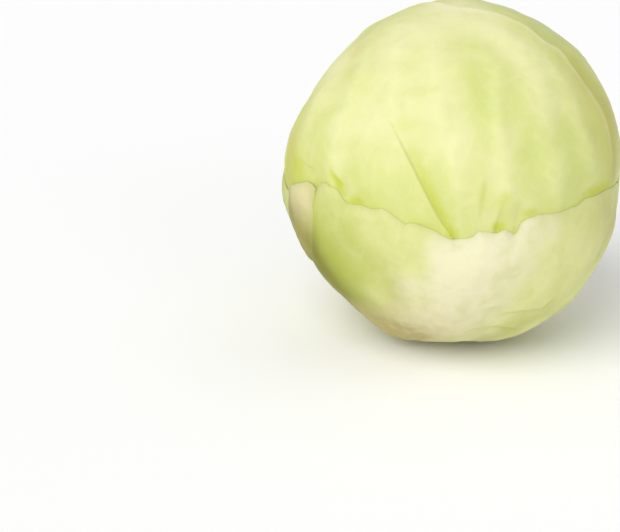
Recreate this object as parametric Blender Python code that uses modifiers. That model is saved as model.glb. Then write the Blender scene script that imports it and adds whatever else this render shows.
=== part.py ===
"""A green cabbage as it is sold: a dense head on its cut stem, with four torn outer leaves.

The head is a ball whose radius is a formula of longitude and latitude about its centre, so its
bulges, the margins of its covering leaves, its ribs and its long crease are all relief on one body.
Each outer leaf is an open sheet laid over the head by the same formula and made solid by Solidify.

Shapes are worked out in millimetres and degrees. Longitude 0 faces -Y and grows towards +X, and
latitude 0 is the level of the head's centre. The origin is the middle of the stem's cut face.
"""

import math

import bmesh
import bpy
import numpy as np

MM = 0.001

# Driving dimensions, millimetres
BODY_RADIUS = 82.5
CENTRE_HEIGHT = 80.0
STEM_FOOT_RADIUS = 15.8
STEM_TOP_RADIUS = 17.2
STEM_UNEVEN_OVAL = 0.022
STEM_UNEVEN_LOBES = 0.013
STEM_HEIGHT = 8.8
STEM_CHAMFER = 1.0
STEM_CHAMFER_STEPS = 2
STEM_CHAMFER_ANGLE = 60
LEAF_GAP = 0.55
LEAF_MARGIN_THICKNESS = 1.25
LEAF_FOOT_RADIUS = 18.4
LEAF_FOOT_CLEARANCE = 0.8
LEAF_FOOT_DEPTH = 73.0
LEAF_THICKEST = 11.0

# The head draws in below its middle to make room for the outer leaves
TUCK_DEPTH = 3.4
TUCK_TOP_LAT = 20.0
TUCK_FULL_LAT = -14.0
HEAD_FLAT_DEPTH = CENTRE_HEIGHT - 9.0
FLAT_LEAST_SINE = 0.05
HEAD_FLAT_SHARPNESS = 20
LEAF_FLAT_SHARPNESS = 50

# Latitudes, degrees, between which the relief of the head dies out under the leaves
RELIEF_FULL_LAT = -3.0
RELIEF_END_LAT = -12.0

# The leaves overlap above these latitudes and stand side by side round the stem below them
OVERLAP_FULL_LAT = -52.0
OVERLAP_END_LAT = -62.0
FOOT_THICK_START_LAT = -58.0
FOOT_THICK_FULL_LAT = -66.0

LEAF_EDGE_TAPER = 14.0
LEAF_SIDE_TAPER = 12.0
TOP_SMOOTHING_STEPS = (-4.5, -3.0, -1.5, 0.0, 1.5, 3.0, 4.5)
OVERLAP_RAMP = 8.0
OVERLAP_MARGIN = 1.0

# Mesh density: columns round, and rows up
HEAD_COLUMNS = 88
HEAD_ROWS = 34
FRONT_CROWDING = 20.0
CREASE_CROWDING = 0.6
CREASE_CROWDING_WIDTH = 7.0
CREASE_LEAN_WIDTH = 30.0
CREASE_MIDDLE_LAT = 8.0
CREASE_LEAN_TOP_LAT = 62.0
CREASE_LEAN_BOTTOM_LAT = -50.0
CREASE_LEAN_FADE = 30.0
STEM_SIDES = 48

# Wide bulges and hollows of the whole body: longitude, latitude, spread in degrees, height
BODY_FORMS = (
    (98, 42, 24, -0.2),
    (94, 28, 9, -1.2),
    (108, 60, 11, -1.6),
    (60, 70, 14, 0.8),
    (-100, 38, 21, -3.8),
    (-96, 36, 9, -3.0),
    (-98, 44, 8, -1.2),
    (-112, 62, 12, -2.2),
    (-89, 18, 9, -2.4),
    (-84, -5, 6, 1.2),
    (-79, -18, 9, -1.0),
    (84, -3, 8, -1.3),
    (57, -51, 15, 2.6),
    (74, -26, 14, -0.4),
    (-72, -31, 8, -2.2),
    (2, -67, 9, -1.8),
    (-42, -60, 7, 3.2),
    (-60, -45, 9, -2.4),
    (160, 20, 26, 1.2),
    (-150, -30, 22, 1.0),
    (150, -44, 18, -1.2),
    (89, 17, 6, -1.5),
    (94, 33, 6, 0.6),
    (102, 49, 8, 0.6),
    (-107, 58, 6, 1.1),
    (-97, 39.5, 5.5, -1.3),
    (-92, 26, 5, -0.5),
    (-87.5, 12, 4, -0.5),
    (43, -59, 7, 0.5),
    (70, -36, 7, 0.7),
    (82, -7, 6, -0.9),
)

# Small hollows in the head above the torn leaf edge
HEAD_POCKETS = (
    (-31, 5, 3.0, -0.9),
    (-15, 4, 3.5, -0.5),
    (-1, 1, 3.4, -0.7),
    (9, 0, 3.5, -0.4),
    (20, 1, 3.2, -0.9),
    (49.5, 5.5, 3.6, -0.9),
    (-76, 4, 4.0, -0.8),
    (112, 6, 4.0, -1.0),
    (160, 3, 5.0, -1.0),
    (236, 4, 5.0, -1.0),
)

LIP_SOFTNESS = 1.2
LEAST_SHARE = 0.01

# Lines where one layer ends and stands over the next. Each has its points as longitude and
# latitude, the side that is raised (1 is right of the way the points run), the height and width
# of the raised lip, the depth and width of the sunk side, and the shares of its length over
# which it rises and dies away.
CREASE = ((-26, 34), (-22, 30), (-16.5, 23.5), (-11.7, 16.6), (-8.7, 11.6), (-5.9, 6.7), (-2.9, 1.3),
          (-0.7, -1.9), (1, -4.4), (3, -12))
HEAD_LIPS = (
    (CREASE, 1, 0.7, 6.0, 1.1, 4.2, 0.4, 0.0),
    (((66, -4), (67.5, 6), (67, 15), (68.5, 26), (67, 35), (66.5, 44), (69.5, 51.5), (63, 57), (61, 65),
      (55, 72), (33, 80), (0, 84), (-100, 82), (-130, 66), (-140, 45), (-143, 20), (-142, -8)),
     -1, 0.8, 9.0, 0.5, 5.0, 0.1, 0.05),
    (((172, -8), (168, 12), (160, 32), (146, 50), (118, 66), (84, 73)), 1, 0.6, 9.0, 0.4, 5.0, 0.1, 0.6),
    (((17.2, 10), (16.2, 5.5), (15.1, 1.2), (13.9, -4)), 1, 0.3, 4.0, 0.6, 3.0, 0.5, 0.0),
    (((-45, 14), (-43.3, 12.4), (-40.8, 10), (-39.5, 4)), 1, 0.4, 4.0, 0.6, 3.0, 0.5, 0.0),
)

# Ribs of the covering leaves: points, half width and height
RIB_END_SHARE = 0.4
HEAD_RIBS = (
    (((18.5, -2), (18, 12), (17, 23), (16.5, 35), (20, 49), (8, 68)), 2.8, 0.8),
    (((36, 2), (35, 20), (35.5, 31), (37, 38), (42, 50), (40, 58), (30, 70), (-4, 77)), 4.6, 0.9),
    (((2, 12), (1, 20), (-1, 32), (-5, 38), (-15, 62), (-60, 76)), 3.2, 0.8),
    (((-29, 30), (-25, 38), (-39, 60), (-84, 70)), 3.2, 0.7),
    (((-42, 7), (-43, 28), (-44, 36), (-47, 46), (-74, 60)), 3.2, 0.7),
    (((52, 6), (51, 25), (52, 44), (49, 62)), 3.6, 0.6),
    (((-62, 6), (-62, 25), (-69, 46)), 3.4, 0.7),
    (((-82, 6), (-83, 26), (-92, 46)), 3.4, 0.7),
)
BACK_RIB_FIRST_LON = 84
BACK_RIB_STEP = 17
BACK_RIB_COUNT = 11
BACK_RIB_BEND = 7.0
BACK_RIB_TURN = 2.4
BACK_RIB_HALF_WIDTH = 3.6
BACK_RIB_HEIGHT = 0.8

# The outer leaves. Sides are (latitude, longitude) from the stem upwards, and the torn top edge
# is (longitude, latitude) from left to right.
FRONT_LEAF = {
    "name": "outer_leaf_front",
    "columns": 52,
    "rows": 16,
    "left": ((-75, -44), (-62, -45.5), (-56, -49.5), (-50, -64), (-45, -70), (-40, -74), (-34, -75.5),
             (-30, -72), (-26, -66), (-15, -60), (10, -58)),
    "right": ((-75, 64), (-62, 66), (-56, 70), (-48, 90), (-30, 110), (10, 113)),
    "top": ((-64, 2), (-58, 3), (-52, 4.4), (-49.3, 4.2), (-46.6, 6.6), (-43.7, 7.6), (-40.7, 7),
            (-38.4, 6.2), (-37.2, 4.4), (-35.7, 3.1), (-34.9, 2.5), (-32, 2.9), (-27.1, 3.1),
            (-25.5, 2.7), (-21.5, 3.5), (-19.6, 2.8), (-17.6, 1.4), (-15.5, 0), (-14, -1), (-12.8, -0.3),
            (-10.5, -0.1), (-6.3, -1.5), (-4.1, -2.4), (-1.8, -3.8), (0.1, -4.8), (1.7, -5.2),
            (7.4, -4.4), (8.7, -2.9), (10, -2.4), (15.2, -3.2), (16.5, -2.3), (17.9, -1.9), (19.5, -3),
            (21.3, -4.2), (22.2, -3.1), (23.1, -0.4), (25, 0.6), (28.8, 2), (36.5, 1.5), (40.4, 1.7),
            (44.6, 2.1), (48.7, 3.2), (51.2, 3.5), (55.8, 3), (60, 3.5), (66, 3), (73, 1.6), (86, -1),
            (96, 2), (113, 1)),
    "thickest_side": LEAF_THICKEST,
    "midrib": ((-6, -74), (-1, -50), (6, -32), (10.5, -18), (15, -4)),
    "midrib_height": 1.5,
    "veins": (((-10, -66), (-20, -45), (-27, -31), (-34, -8)), ((-2, -48), (-10, -24), (-20, -4)),
              ((-4, -62), (24, -38), (46, -4)), ((0, -40), (16, -22), (25, -4)),
              ((-2, -68), (48, -44), (82, -12))),
}
LEFT_LEAF = {
    "name": "outer_leaf_left",
    "columns": 9,
    "rows": 15,
    "left": ((-75, -72), (-56, -72), (-50, -75), (-45, -79), (-40, -83), (-34, -85), (-28, -83),
             (-15, -76), (-4, -71), (10, -70)),
    "right": ((-75, -46), (-62, -47.5), (-56, -53), (-50, -61), (-45, -66.5), (-40, -70), (-34, -71.5),
              (-30, -66), (-26.5, -57), (-23.5, -53.6), (-18.3, -51.4), (-11.4, -50), (-7.5, -49.6),
              (-3.4, -49.1), (1.7, -48.7), (10, -48)),
    "top": ((-78, -5.2), (-73.8, -3), (-69, -1), (-66.1, 0.8), (-59.1, 3.6), (-53.5, 5.6), (-50.9, 5.3),
            (-49.3, 4.4), (-47, 4)),
    "thickest_side": 1.8,
    "midrib": ((-60, -74), (-61, -50), (-61, -26), (-60, -8)),
    "midrib_height": 0.5,
    "veins": (),
}
BACK_RIGHT_LEAF = {
    "name": "outer_leaf_back_right",
    "columns": 32,
    "rows": 14,
    "left": ((-75, 66), (-62, 68), (-50, 80), (-30, 95), (10, 98)),
    "right": ((-75, 158), (-62, 160), (-56, 164), (-48, 180), (-30, 196), (10, 196)),
    "top": ((98, 2), (103, 5), (109, 5.5), (114, 2), (121, 3.5), (130, 6.5), (139, 5), (146, 7.5),
            (153, 3), (160, -1), (166, 1.5), (175, 4.5), (184, 6), (196, 4)),
    "thickest_side": LEAF_THICKEST,
    "midrib": ((112, -74), (128, -50), (138, -26), (140, -6)),
    "midrib_height": 1.4,
    "veins": (((114, -62), (108, -36), (104, -6)), ((122, -56), (122, -30), (120, -6)),
              ((120, -60), (158, -36), (170, -6)), ((130, -46), (150, -24), (154, -6))),
}
BACK_LEFT_LEAF = {
    "name": "outer_leaf_back_left",
    "columns": 34,
    "rows": 14,
    "left": ((-75, 160), (-62, 162), (-50, 172), (-30, 180), (10, 182)),
    "right": ((-75, 286), (-62, 287), (-50, 287), (-45, 285.5), (-40, 282), (-34, 280.5), (-30, 283),
              (-26, 288), (-15, 293.5), (10, 294)),
    "top": ((182, 6), (190, 9), (197, 7.5), (204, 2.5), (211, 4), (219, 5.5), (228, 3.5), (236, -0.5),
            (243, 1.5), (252, 4.5), (261, 4), (268, 1), (274, -1), (280, -2), (286, -3), (296, -4)),
    "thickest_side": LEAF_THICKEST,
    "midrib": ((222, -74), (230, -50), (234, -26), (236, -8)),
    "midrib_height": 1.4,
    "veins": (((220, -62), (200, -36), (194, -6)), ((226, -48), (216, -24), (212, -6)),
              ((224, -62), (262, -38), (276, -8)), ((230, -48), (248, -24), (256, -6))),
}
MIDRIB_FOOT_HALF_WIDTH = 15.0
MIDRIB_TIP_HALF_WIDTH = 8.0
MIDRIB_TIP_SHARE = 0.4
VEIN_HALF_WIDTH = 3.2
VEIN_HEIGHT = 0.4

LEAF_GREEN = (0.62, 0.72, 0.26)
HEAD_GREEN = (0.72, 0.80, 0.32)
STEM_CREAM = (0.80, 0.76, 0.52)
LEAF_ROUGHNESS = 0.5
STEM_ROUGHNESS = 0.7


def unit(lon, lat):
    """Directions from the head's centre for longitudes and latitudes in degrees."""
    lon, lat = np.radians(lon), np.radians(lat)
    return np.stack((np.sin(lon) * np.cos(lat), -np.cos(lon) * np.cos(lat), np.sin(lat)), axis=-1)


def smoothstep(x):
    """Rise from 0 to 1 with level ends."""
    x = np.clip(x, 0.0, 1.0)
    return x * x * (3.0 - 2.0 * x)


def smooth_line(points, pieces=4):
    """Directions along a smooth line through (longitude, latitude) points."""
    knots = unit(*np.array(points, float).T)
    knots = np.vstack((2 * knots[0] - knots[1], knots, 2 * knots[-1] - knots[-2]))
    steps = np.arange(pieces)[:, None] / pieces
    line = []
    for a, b, c, d in zip(knots, knots[1:], knots[2:], knots[3:]):
        line.append(0.5 * (2 * b + (c - a) * steps + (2 * a - 5 * b + 4 * c - d) * steps ** 2
                           + (3 * b - a - 3 * c + d) * steps ** 3))
    line = np.vstack(line + [knots[-2:-1]])
    return line / np.linalg.norm(line, axis=1)[:, None]


def along_line(direction, line):
    """Distance from a line in millimetres, the share of its length passed, and the side."""
    lengths = np.linalg.norm(np.diff(line, axis=0), axis=1)
    passed = np.concatenate(([0.0], np.cumsum(lengths)))
    distance = np.full(len(direction), np.inf)
    share = np.zeros(len(direction))
    side = np.ones(len(direction))
    for start, end, length, before in zip(line, line[1:], lengths, passed):
        step = end - start
        along = np.clip((direction - start) @ step / length ** 2, 0.0, 1.0)
        offset = direction - (start + along[:, None] * step)
        here = np.linalg.norm(offset, axis=1)
        nearer = here < distance
        distance[nearer] = here[nearer]
        share[nearer] = (before + along[nearer] * length) / passed[-1]
        side[nearer] = np.where(offset[nearer] @ np.cross(step, start) >= 0.0, 1.0, -1.0)
    return distance * BODY_RADIUS, share, side


def forms(direction, table):
    """Sum of round bulges and hollows."""
    height = np.zeros(len(direction))
    for lon, lat, spread, size in table:
        angle = np.degrees(np.arccos(np.clip(direction @ unit(lon, lat), -1.0, 1.0)))
        height += size * np.exp(-0.5 * (angle / spread) ** 2)
    return height


def lips(direction, table):
    """Raised lip and sunk side along each line, with the step between them softened."""
    height = np.zeros(len(direction))
    for points, raised_side, lip, lip_width, sink, sink_width, rise, fall in table:
        distance, share, side = along_line(direction, smooth_line(points))
        signed = distance * side * raised_side
        over = 0.5 + 0.5 * np.tanh(signed / LIP_SOFTNESS)
        profile = over * lip * np.exp(-distance / lip_width)
        profile -= (1.0 - over) * sink * np.exp(-distance / sink_width)
        ends = smoothstep(share / max(rise, LEAST_SHARE))
        ends *= smoothstep((1.0 - share) / max(fall, LEAST_SHARE))
        height += profile * ends
    return height


def ribs(direction, table):
    """Round ridges that taper to nothing at their upper ends."""
    height = np.zeros(len(direction))
    for points, half_width, size in table:
        distance, share, _ = along_line(direction, smooth_line(points))
        end = smoothstep((1.0 - share) / RIB_END_SHARE)
        height += size * end * np.exp(-0.5 * (distance / half_width) ** 2)
    return height


def back_ribs():
    """Ribs of the sides and back, which bend alternately left and right."""
    table = []
    for number in range(BACK_RIB_COUNT):
        lon = BACK_RIB_FIRST_LON + number * BACK_RIB_STEP
        bend = BACK_RIB_BEND * math.sin(BACK_RIB_TURN * number)
        points = ((lon, 2), (lon + bend, 24), (lon + bend, 44), (lon - bend, 64))
        table.append((points, BACK_RIB_HALF_WIDTH, BACK_RIB_HEIGHT))
    return tuple(table)


def flattened(radius, lat, depth, sharpness):
    """Radius cut off softly by the level plane at this depth below the centre."""
    plane = depth / np.maximum(-np.sin(np.radians(lat)), FLAT_LEAST_SINE)
    return (radius ** -sharpness + plane ** -sharpness) ** (-1.0 / sharpness)


def body_radius(lon, lat):
    """Radius of the whole cabbage before the head draws in and the leaves are laid on."""
    return BODY_RADIUS + forms(unit(lon, lat), BODY_FORMS)


def head_core_radius(lon, lat):
    """Radius of the head without its fine relief."""
    tuck = TUCK_DEPTH * smoothstep((TUCK_TOP_LAT - lat) / (TUCK_TOP_LAT - TUCK_FULL_LAT))
    return flattened(body_radius(lon, lat) - tuck, lat, HEAD_FLAT_DEPTH, HEAD_FLAT_SHARPNESS)


def head_relief(lon, lat):
    """Height of the pockets, layer margins, crease and ribs, which die out under the leaves."""
    direction = unit(lon, lat)
    relief = forms(direction, HEAD_POCKETS) + lips(direction, HEAD_LIPS)
    relief += ribs(direction, HEAD_RIBS + back_ribs())
    return relief * smoothstep((lat - RELIEF_END_LAT) / (RELIEF_FULL_LAT - RELIEF_END_LAT))


def head_radius(lon, lat):
    """Radius of the head with its relief."""
    return head_core_radius(lon, lat) + head_relief(lon, lat)


def crease_lon(lat):
    """Longitude of the long crease at a latitude."""
    lons, lats = np.array(CREASE[::-1], float).T
    return np.interp(lat, lats, lons)


def crowd_columns(lon, lat):
    """Longitudes drawn closer together on the front, and closer still along the crease."""
    lon = lon - FRONT_CROWDING * np.sin(np.radians(lon))
    middle = crease_lon(CREASE_MIDDLE_LAT)
    from_crease = lon - middle
    pull = 1.0 - CREASE_CROWDING * np.exp(-0.5 * (from_crease / CREASE_CROWDING_WIDTH) ** 2)
    lean = (crease_lon(lat) - middle) * np.exp(-0.5 * (from_crease / CREASE_LEAN_WIDTH) ** 2)
    lean = lean * smoothstep((CREASE_LEAN_TOP_LAT - lat) / CREASE_LEAN_FADE)
    lean = lean * smoothstep((lat - CREASE_LEAN_BOTTOM_LAT) / CREASE_LEAN_FADE)
    return middle + from_crease * pull + lean


def place(lon, lat, radius):
    """Points in metres from longitude, latitude and radius about the head's centre."""
    points = unit(lon, lat) * np.asarray(radius)[:, None]
    points[:, 2] += CENTRE_HEIGHT
    return points * MM


def make_material(name, colour, roughness):
    material = bpy.data.materials.new(name)
    material.use_nodes = True
    shader = material.node_tree.nodes["Principled BSDF"]
    shader.inputs["Base Color"].default_value = (*colour, 1.0)
    shader.inputs["Roughness"].default_value = roughness
    shader.inputs["Metallic"].default_value = 0.0
    material.diffuse_color = (*colour, 1.0)
    return material


def add_object(bm, name, material, collection):
    """Turn a bmesh into a smooth object with one material."""
    mesh = bpy.data.meshes.new(name)
    bm.to_mesh(mesh)
    bm.free()
    mesh.shade_smooth()
    mesh.materials.append(material)
    obj = bpy.data.objects.new(name, mesh)
    collection.objects.link(obj)
    return obj


def make_head(collection):
    """The dense head: a sphere whose every vertex is moved to the head's radius."""
    bm = bmesh.new()
    bmesh.ops.create_uvsphere(bm, u_segments=HEAD_COLUMNS, v_segments=HEAD_ROWS, radius=1.0)
    verts = np.array([vert.co for vert in bm.verts])
    lat = np.degrees(np.arcsin(np.clip(verts[:, 2], -1.0, 1.0)))
    lon = np.degrees(np.arctan2(verts[:, 0], -verts[:, 1]))
    lon = crowd_columns(lon, lat)
    for vert, point in zip(bm.verts, place(lon, lat, head_radius(lon, lat))):
        vert.co = point
    bmesh.ops.triangulate(bm, faces=bm.faces[:])
    return add_object(bm, "head", make_material("head", HEAD_GREEN, LEAF_ROUGHNESS), collection)


def make_stem(collection):
    """The cut stump: a short flared cone, a little uneven round its sides."""
    bm = bmesh.new()
    bmesh.ops.create_cone(bm, cap_ends=True, segments=STEM_SIDES, radius1=STEM_FOOT_RADIUS,
                          radius2=STEM_TOP_RADIUS, depth=STEM_HEIGHT)
    for vert in bm.verts:
        around = math.atan2(vert.co.y, vert.co.x)
        uneven = 1.0 + STEM_UNEVEN_OVAL * math.sin(2 * around) + STEM_UNEVEN_LOBES * math.sin(5 * around)
        vert.co.x *= uneven * MM
        vert.co.y *= uneven * MM
        vert.co.z = (vert.co.z + STEM_HEIGHT / 2) * MM
    stem = add_object(bm, "stem", make_material("stem", STEM_CREAM, STEM_ROUGHNESS), collection)
    bevel = stem.modifiers.new("cut_edge", "BEVEL")
    bevel.width = STEM_CHAMFER * MM
    bevel.segments = STEM_CHAMFER_STEPS
    bevel.limit_method = "ANGLE"
    bevel.angle_limit = math.radians(STEM_CHAMFER_ANGLE)
    return stem


def side_lon(leaf, side, lat):
    """Longitude of a leaf's left or right edge at a latitude."""
    lats, lons = np.array(leaf[side], float).T
    return np.interp(lat, lats, lons)


def top_lat(leaf, lon):
    """Latitude of a leaf's torn top edge at a longitude."""
    lons, lats = np.array(leaf["top"], float).T
    return np.interp(lon, lons, lats)


def leaf_thickness(leaf, lon, lat):
    """Thickness of a leaf: thin at its edges, full on its face and thick where it meets the stem."""
    core = head_core_radius(lon, lat) + LEAF_GAP
    outside = flattened(body_radius(lon, lat), lat, CENTRE_HEIGHT - LEAF_FOOT_CLEARANCE,
                        LEAF_FLAT_SHARPNESS)
    foot = smoothstep((FOOT_THICK_START_LAT - lat) / (FOOT_THICK_START_LAT - FOOT_THICK_FULL_LAT))
    full = outside - core
    full = np.minimum(full, leaf["thickest_side"]) * (1.0 - foot) + full * foot
    to_side = np.minimum(lon - side_lon(leaf, "left", lat), side_lon(leaf, "right", lat) - lon)
    by_side = np.maximum(smoothstep(to_side / LEAF_SIDE_TAPER), foot)
    tops = [top_lat(leaf, lon + step) for step in TOP_SMOOTHING_STEPS]
    by_top = smoothstep((np.mean(tops, axis=0) - lat) / LEAF_EDGE_TAPER)
    share = np.minimum(by_side, by_top)
    thickness = LEAF_MARGIN_THICKNESS + (full - LEAF_MARGIN_THICKNESS) * share
    return thickness + leaf_relief(leaf, lon, lat) * share * (1.0 - foot)


def leaf_relief(leaf, lon, lat):
    """The wide midrib, which narrows upwards, and the side veins."""
    direction = unit(lon, lat)
    distance, share, _ = along_line(direction, smooth_line(leaf["midrib"]))
    half_width = MIDRIB_FOOT_HALF_WIDTH + (MIDRIB_TIP_HALF_WIDTH - MIDRIB_FOOT_HALF_WIDTH) * share
    height = leaf["midrib_height"] * (1.0 - (1.0 - MIDRIB_TIP_SHARE) * share)
    height *= np.exp(-0.5 * (distance / half_width) ** 2)
    for points in leaf["veins"]:
        distance, share, _ = along_line(direction, smooth_line(points))
        height += VEIN_HEIGHT * np.exp(-0.5 * (distance / VEIN_HALF_WIDTH) ** 2) * (1.0 - share)
    return height


def lift_over(lower, edge, lon, lat):
    """How far a leaf is raised where it passes over another leaf's left or right edge."""
    middle = 0.5 * (lower["top"][0][0] + lower["top"][-1][0])
    lon = lon + 360.0 * np.round((middle - lon) / 360.0)
    edge_lon = side_lon(lower, edge, lat)
    inward = lon - edge_lon if edge == "left" else edge_lon - lon
    over = smoothstep((inward + OVERLAP_MARGIN + OVERLAP_RAMP) / OVERLAP_RAMP)
    overlapping = smoothstep((lat - OVERLAP_END_LAT) / (OVERLAP_FULL_LAT - OVERLAP_END_LAT))
    reach = np.clip(lon, side_lon(lower, "left", lat), side_lon(lower, "right", lat))
    return over * overlapping * (leaf_thickness(lower, reach, lat) + LEAF_GAP)


def leaf_inner_radius(lon, lat, under):
    """Radius of a leaf's inner face: on the head, or on the leaves whose edges it covers."""
    lift = np.zeros(len(lon))
    for lower, edge in under:
        lift = np.maximum(lift, lift_over(lower, edge, lon, lat))
    return head_core_radius(lon, lat) + np.maximum(head_relief(lon, lat), 0.0) + LEAF_GAP + lift


def leaf_grid(leaf, across, up):
    """Longitude and latitude for shares across the leaf and up from the stem."""
    foot_lat = -math.degrees(math.acos(LEAF_FOOT_RADIUS / LEAF_FOOT_DEPTH))
    near_lat = foot_lat * (1.0 - up)
    left, right = side_lon(leaf, "left", near_lat), side_lon(leaf, "right", near_lat)
    lon = left + (right - left) * across
    return lon, foot_lat + (top_lat(leaf, lon) - foot_lat) * up


def make_leaf(leaf, under, material, collection):
    """An outer leaf: a grid bent over the head and thickened outwards by Solidify."""
    bm = bmesh.new()
    bmesh.ops.create_grid(bm, x_segments=leaf["columns"], y_segments=leaf["rows"], size=0.5)
    shares = np.array([vert.co for vert in bm.verts])
    lon, lat = leaf_grid(leaf, shares[:, 0] + 0.5, shares[:, 1] + 0.5)
    radius = leaf_inner_radius(lon, lat, under)
    for vert, point in zip(bm.verts, place(lon, lat, radius)):
        vert.co = point
    bmesh.ops.triangulate(bm, faces=bm.faces[:])
    bm.normal_update()
    normals = np.array([vert.normal for vert in bm.verts])
    tilt = np.abs(np.sum(normals * unit(lon, lat), axis=1))
    thickness = leaf_thickness(leaf, lon, lat) * tilt
    obj = add_object(bm, leaf["name"], material, collection)
    group = obj.vertex_groups.new(name="thickness")
    for index, size in enumerate(thickness):
        group.add([index], float(size / LEAF_THICKEST), "REPLACE")
    solid = obj.modifiers.new("leaf_thickness", "SOLIDIFY")
    solid.thickness = LEAF_THICKEST * MM
    solid.offset = 1.0
    solid.vertex_group = group.name
    return obj


def main():
    for obj in list(bpy.data.objects):
        bpy.data.objects.remove(obj, do_unlink=True)
    collection = bpy.data.collections.new("green_cabbage")
    bpy.context.scene.collection.children.link(collection)
    make_head(collection)
    make_stem(collection)
    leaves = (
        (FRONT_LEAF, ()),
        (LEFT_LEAF, ((FRONT_LEAF, "left"), (BACK_LEFT_LEAF, "right"))),
        (BACK_RIGHT_LEAF, ((FRONT_LEAF, "right"),)),
        (BACK_LEFT_LEAF, ((BACK_RIGHT_LEAF, "right"),)),
    )
    for leaf, under in leaves:
        colour = make_material(leaf["name"], LEAF_GREEN, LEAF_ROUGHNESS)
        make_leaf(leaf, under, colour, collection)


main()
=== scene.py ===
"""Looks of the green cabbage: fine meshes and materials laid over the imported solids.

Every piece is worked out by the same formulas as its solid, at a finer pitch and with the small
relief that the solid leaves out. Shapes are in millimetres and degrees about the head's centre:
longitude 0 faces -Y and grows towards +X, latitude 0 is the level of the head's centre.
"""
import math

import bmesh
import bpy
import numpy as np
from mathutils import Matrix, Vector


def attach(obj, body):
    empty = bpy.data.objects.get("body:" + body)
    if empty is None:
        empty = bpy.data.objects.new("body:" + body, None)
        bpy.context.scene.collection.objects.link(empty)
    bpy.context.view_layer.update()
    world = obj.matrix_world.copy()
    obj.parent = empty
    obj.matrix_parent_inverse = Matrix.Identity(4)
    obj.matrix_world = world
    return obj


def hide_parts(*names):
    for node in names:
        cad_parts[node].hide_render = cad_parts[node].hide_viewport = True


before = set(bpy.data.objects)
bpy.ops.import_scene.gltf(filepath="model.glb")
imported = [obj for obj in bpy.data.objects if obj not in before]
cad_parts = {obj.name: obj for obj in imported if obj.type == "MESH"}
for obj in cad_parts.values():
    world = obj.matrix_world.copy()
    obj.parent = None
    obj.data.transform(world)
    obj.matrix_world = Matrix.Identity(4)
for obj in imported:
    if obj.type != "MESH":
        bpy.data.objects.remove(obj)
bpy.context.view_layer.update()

MM = 0.001

# The photograph's view: size in pixels, the head's middle and radius in it, and the camera
IMAGE_WIDTH = 620
IMAGE_HEIGHT = 532
HEAD_PIXEL_X = 451
HEAD_PIXEL_Y = 171
HEAD_PIXEL_RADIUS = 172
CAMERA_ELEVATION = 17.0
LENS = 100.0
SENSOR = 36.0
CLIP_START = 0.01

# Driving dimensions, as in the solids
BODY_RADIUS = 82.5
CENTRE_HEIGHT = 80.0
STEM_UNEVEN_OVAL = 0.022
STEM_UNEVEN_LOBES = 0.013
LEAF_GAP = 0.55
LEAF_MARGIN_THICKNESS = 1.25
LEAF_FOOT_RADIUS = 18.4
LEAF_FOOT_CLEARANCE = 0.8
LEAF_FOOT_DEPTH = 73.0
LEAF_THICKEST = 11.0
TUCK_DEPTH = 3.4
TUCK_TOP_LAT = 20.0
TUCK_FULL_LAT = -14.0
HEAD_FLAT_DEPTH = CENTRE_HEIGHT - 9.0
FLAT_LEAST_SINE = 0.05
HEAD_FLAT_SHARPNESS = 20
LEAF_FLAT_SHARPNESS = 50
RELIEF_FULL_LAT = -3.0
RELIEF_END_LAT = -12.0
OVERLAP_FULL_LAT = -52.0
OVERLAP_END_LAT = -62.0
FOOT_THICK_START_LAT = -58.0
FOOT_THICK_FULL_LAT = -66.0
LEAF_EDGE_TAPER = 14.0
LEAF_SIDE_TAPER = 12.0
TOP_SMOOTHING_STEPS = (-4.5, -3.0, -1.5, 0.0, 1.5, 3.0, 4.5)
OVERLAP_RAMP = 8.0
OVERLAP_MARGIN = 1.0
MM_PER_DEGREE = math.radians(BODY_RADIUS)
LEAST_SHARE = 0.01
# How far beyond a line's own reach points still count
LINE_REACH = 36.0

# The head's mesh pitch, closer on the front and along the crease
HEAD_COLUMNS = 420
HEAD_ROWS = 196
FRONT_CROWDING = 20.0
CREASE_CROWDING = 0.62
CREASE_CROWDING_WIDTH = 6.0
CREASE_LEAN_WIDTH = 30.0
CREASE_MIDDLE_LAT = 8.0
CREASE_LEAN_TOP_LAT = 62.0
CREASE_LEAN_BOTTOM_LAT = -50.0
CREASE_LEAN_FADE = 30.0

# Wide bulges and hollows of the whole body: longitude, latitude, spread in degrees, height
BODY_FORMS = (
    (98, 42, 24, -0.2), (94, 28, 9, -1.2), (108, 60, 11, -1.6), (60, 70, 14, 0.8), (-100, 38, 21, -3.8),
    (-96, 36, 9, -3), (-98, 44, 8, -1.2), (-112, 62, 12, -2.2), (-89, 18, 9, -2.4), (-84, -5, 6, 1.2),
    (-79, -18, 9, -1), (84, -3, 8, -1.3), (57, -51, 15, 2.6), (74, -26, 14, -0.4), (-72, -31, 8, -2.2),
    (2, -67, 9, -1.8), (-42, -60, 7, 3.2), (-60, -45, 9, -2.4), (160, 20, 26, 1.2), (-150, -30, 22, 1),
    (150, -44, 18, -1.2), (89, 17, 6, -1.5), (94, 33, 6, 0.6), (102, 49, 8, 0.6), (-107, 58, 6, 1.1),
    (-97, 39.5, 5.5, -1.3), (-92, 26, 5, -0.5), (-87.5, 12, 4, -0.5), (43, -59, 7, 0.5),
    (70, -36, 7, 0.7), (82, -7, 6, -0.9),
)
HEAD_POCKETS = (
    (-31, 5, 3, -0.9), (-15, 4, 3.5, -0.5), (-1, 1, 3.4, -0.7), (9, 0, 3.5, -0.4), (20, 1, 3.2, -0.9),
    (49.5, 5.5, 3.6, -0.9), (-76, 4, 4, -0.8), (112, 6, 4, -1), (160, 3, 5, -1), (236, 4, 5, -1),
)

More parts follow.
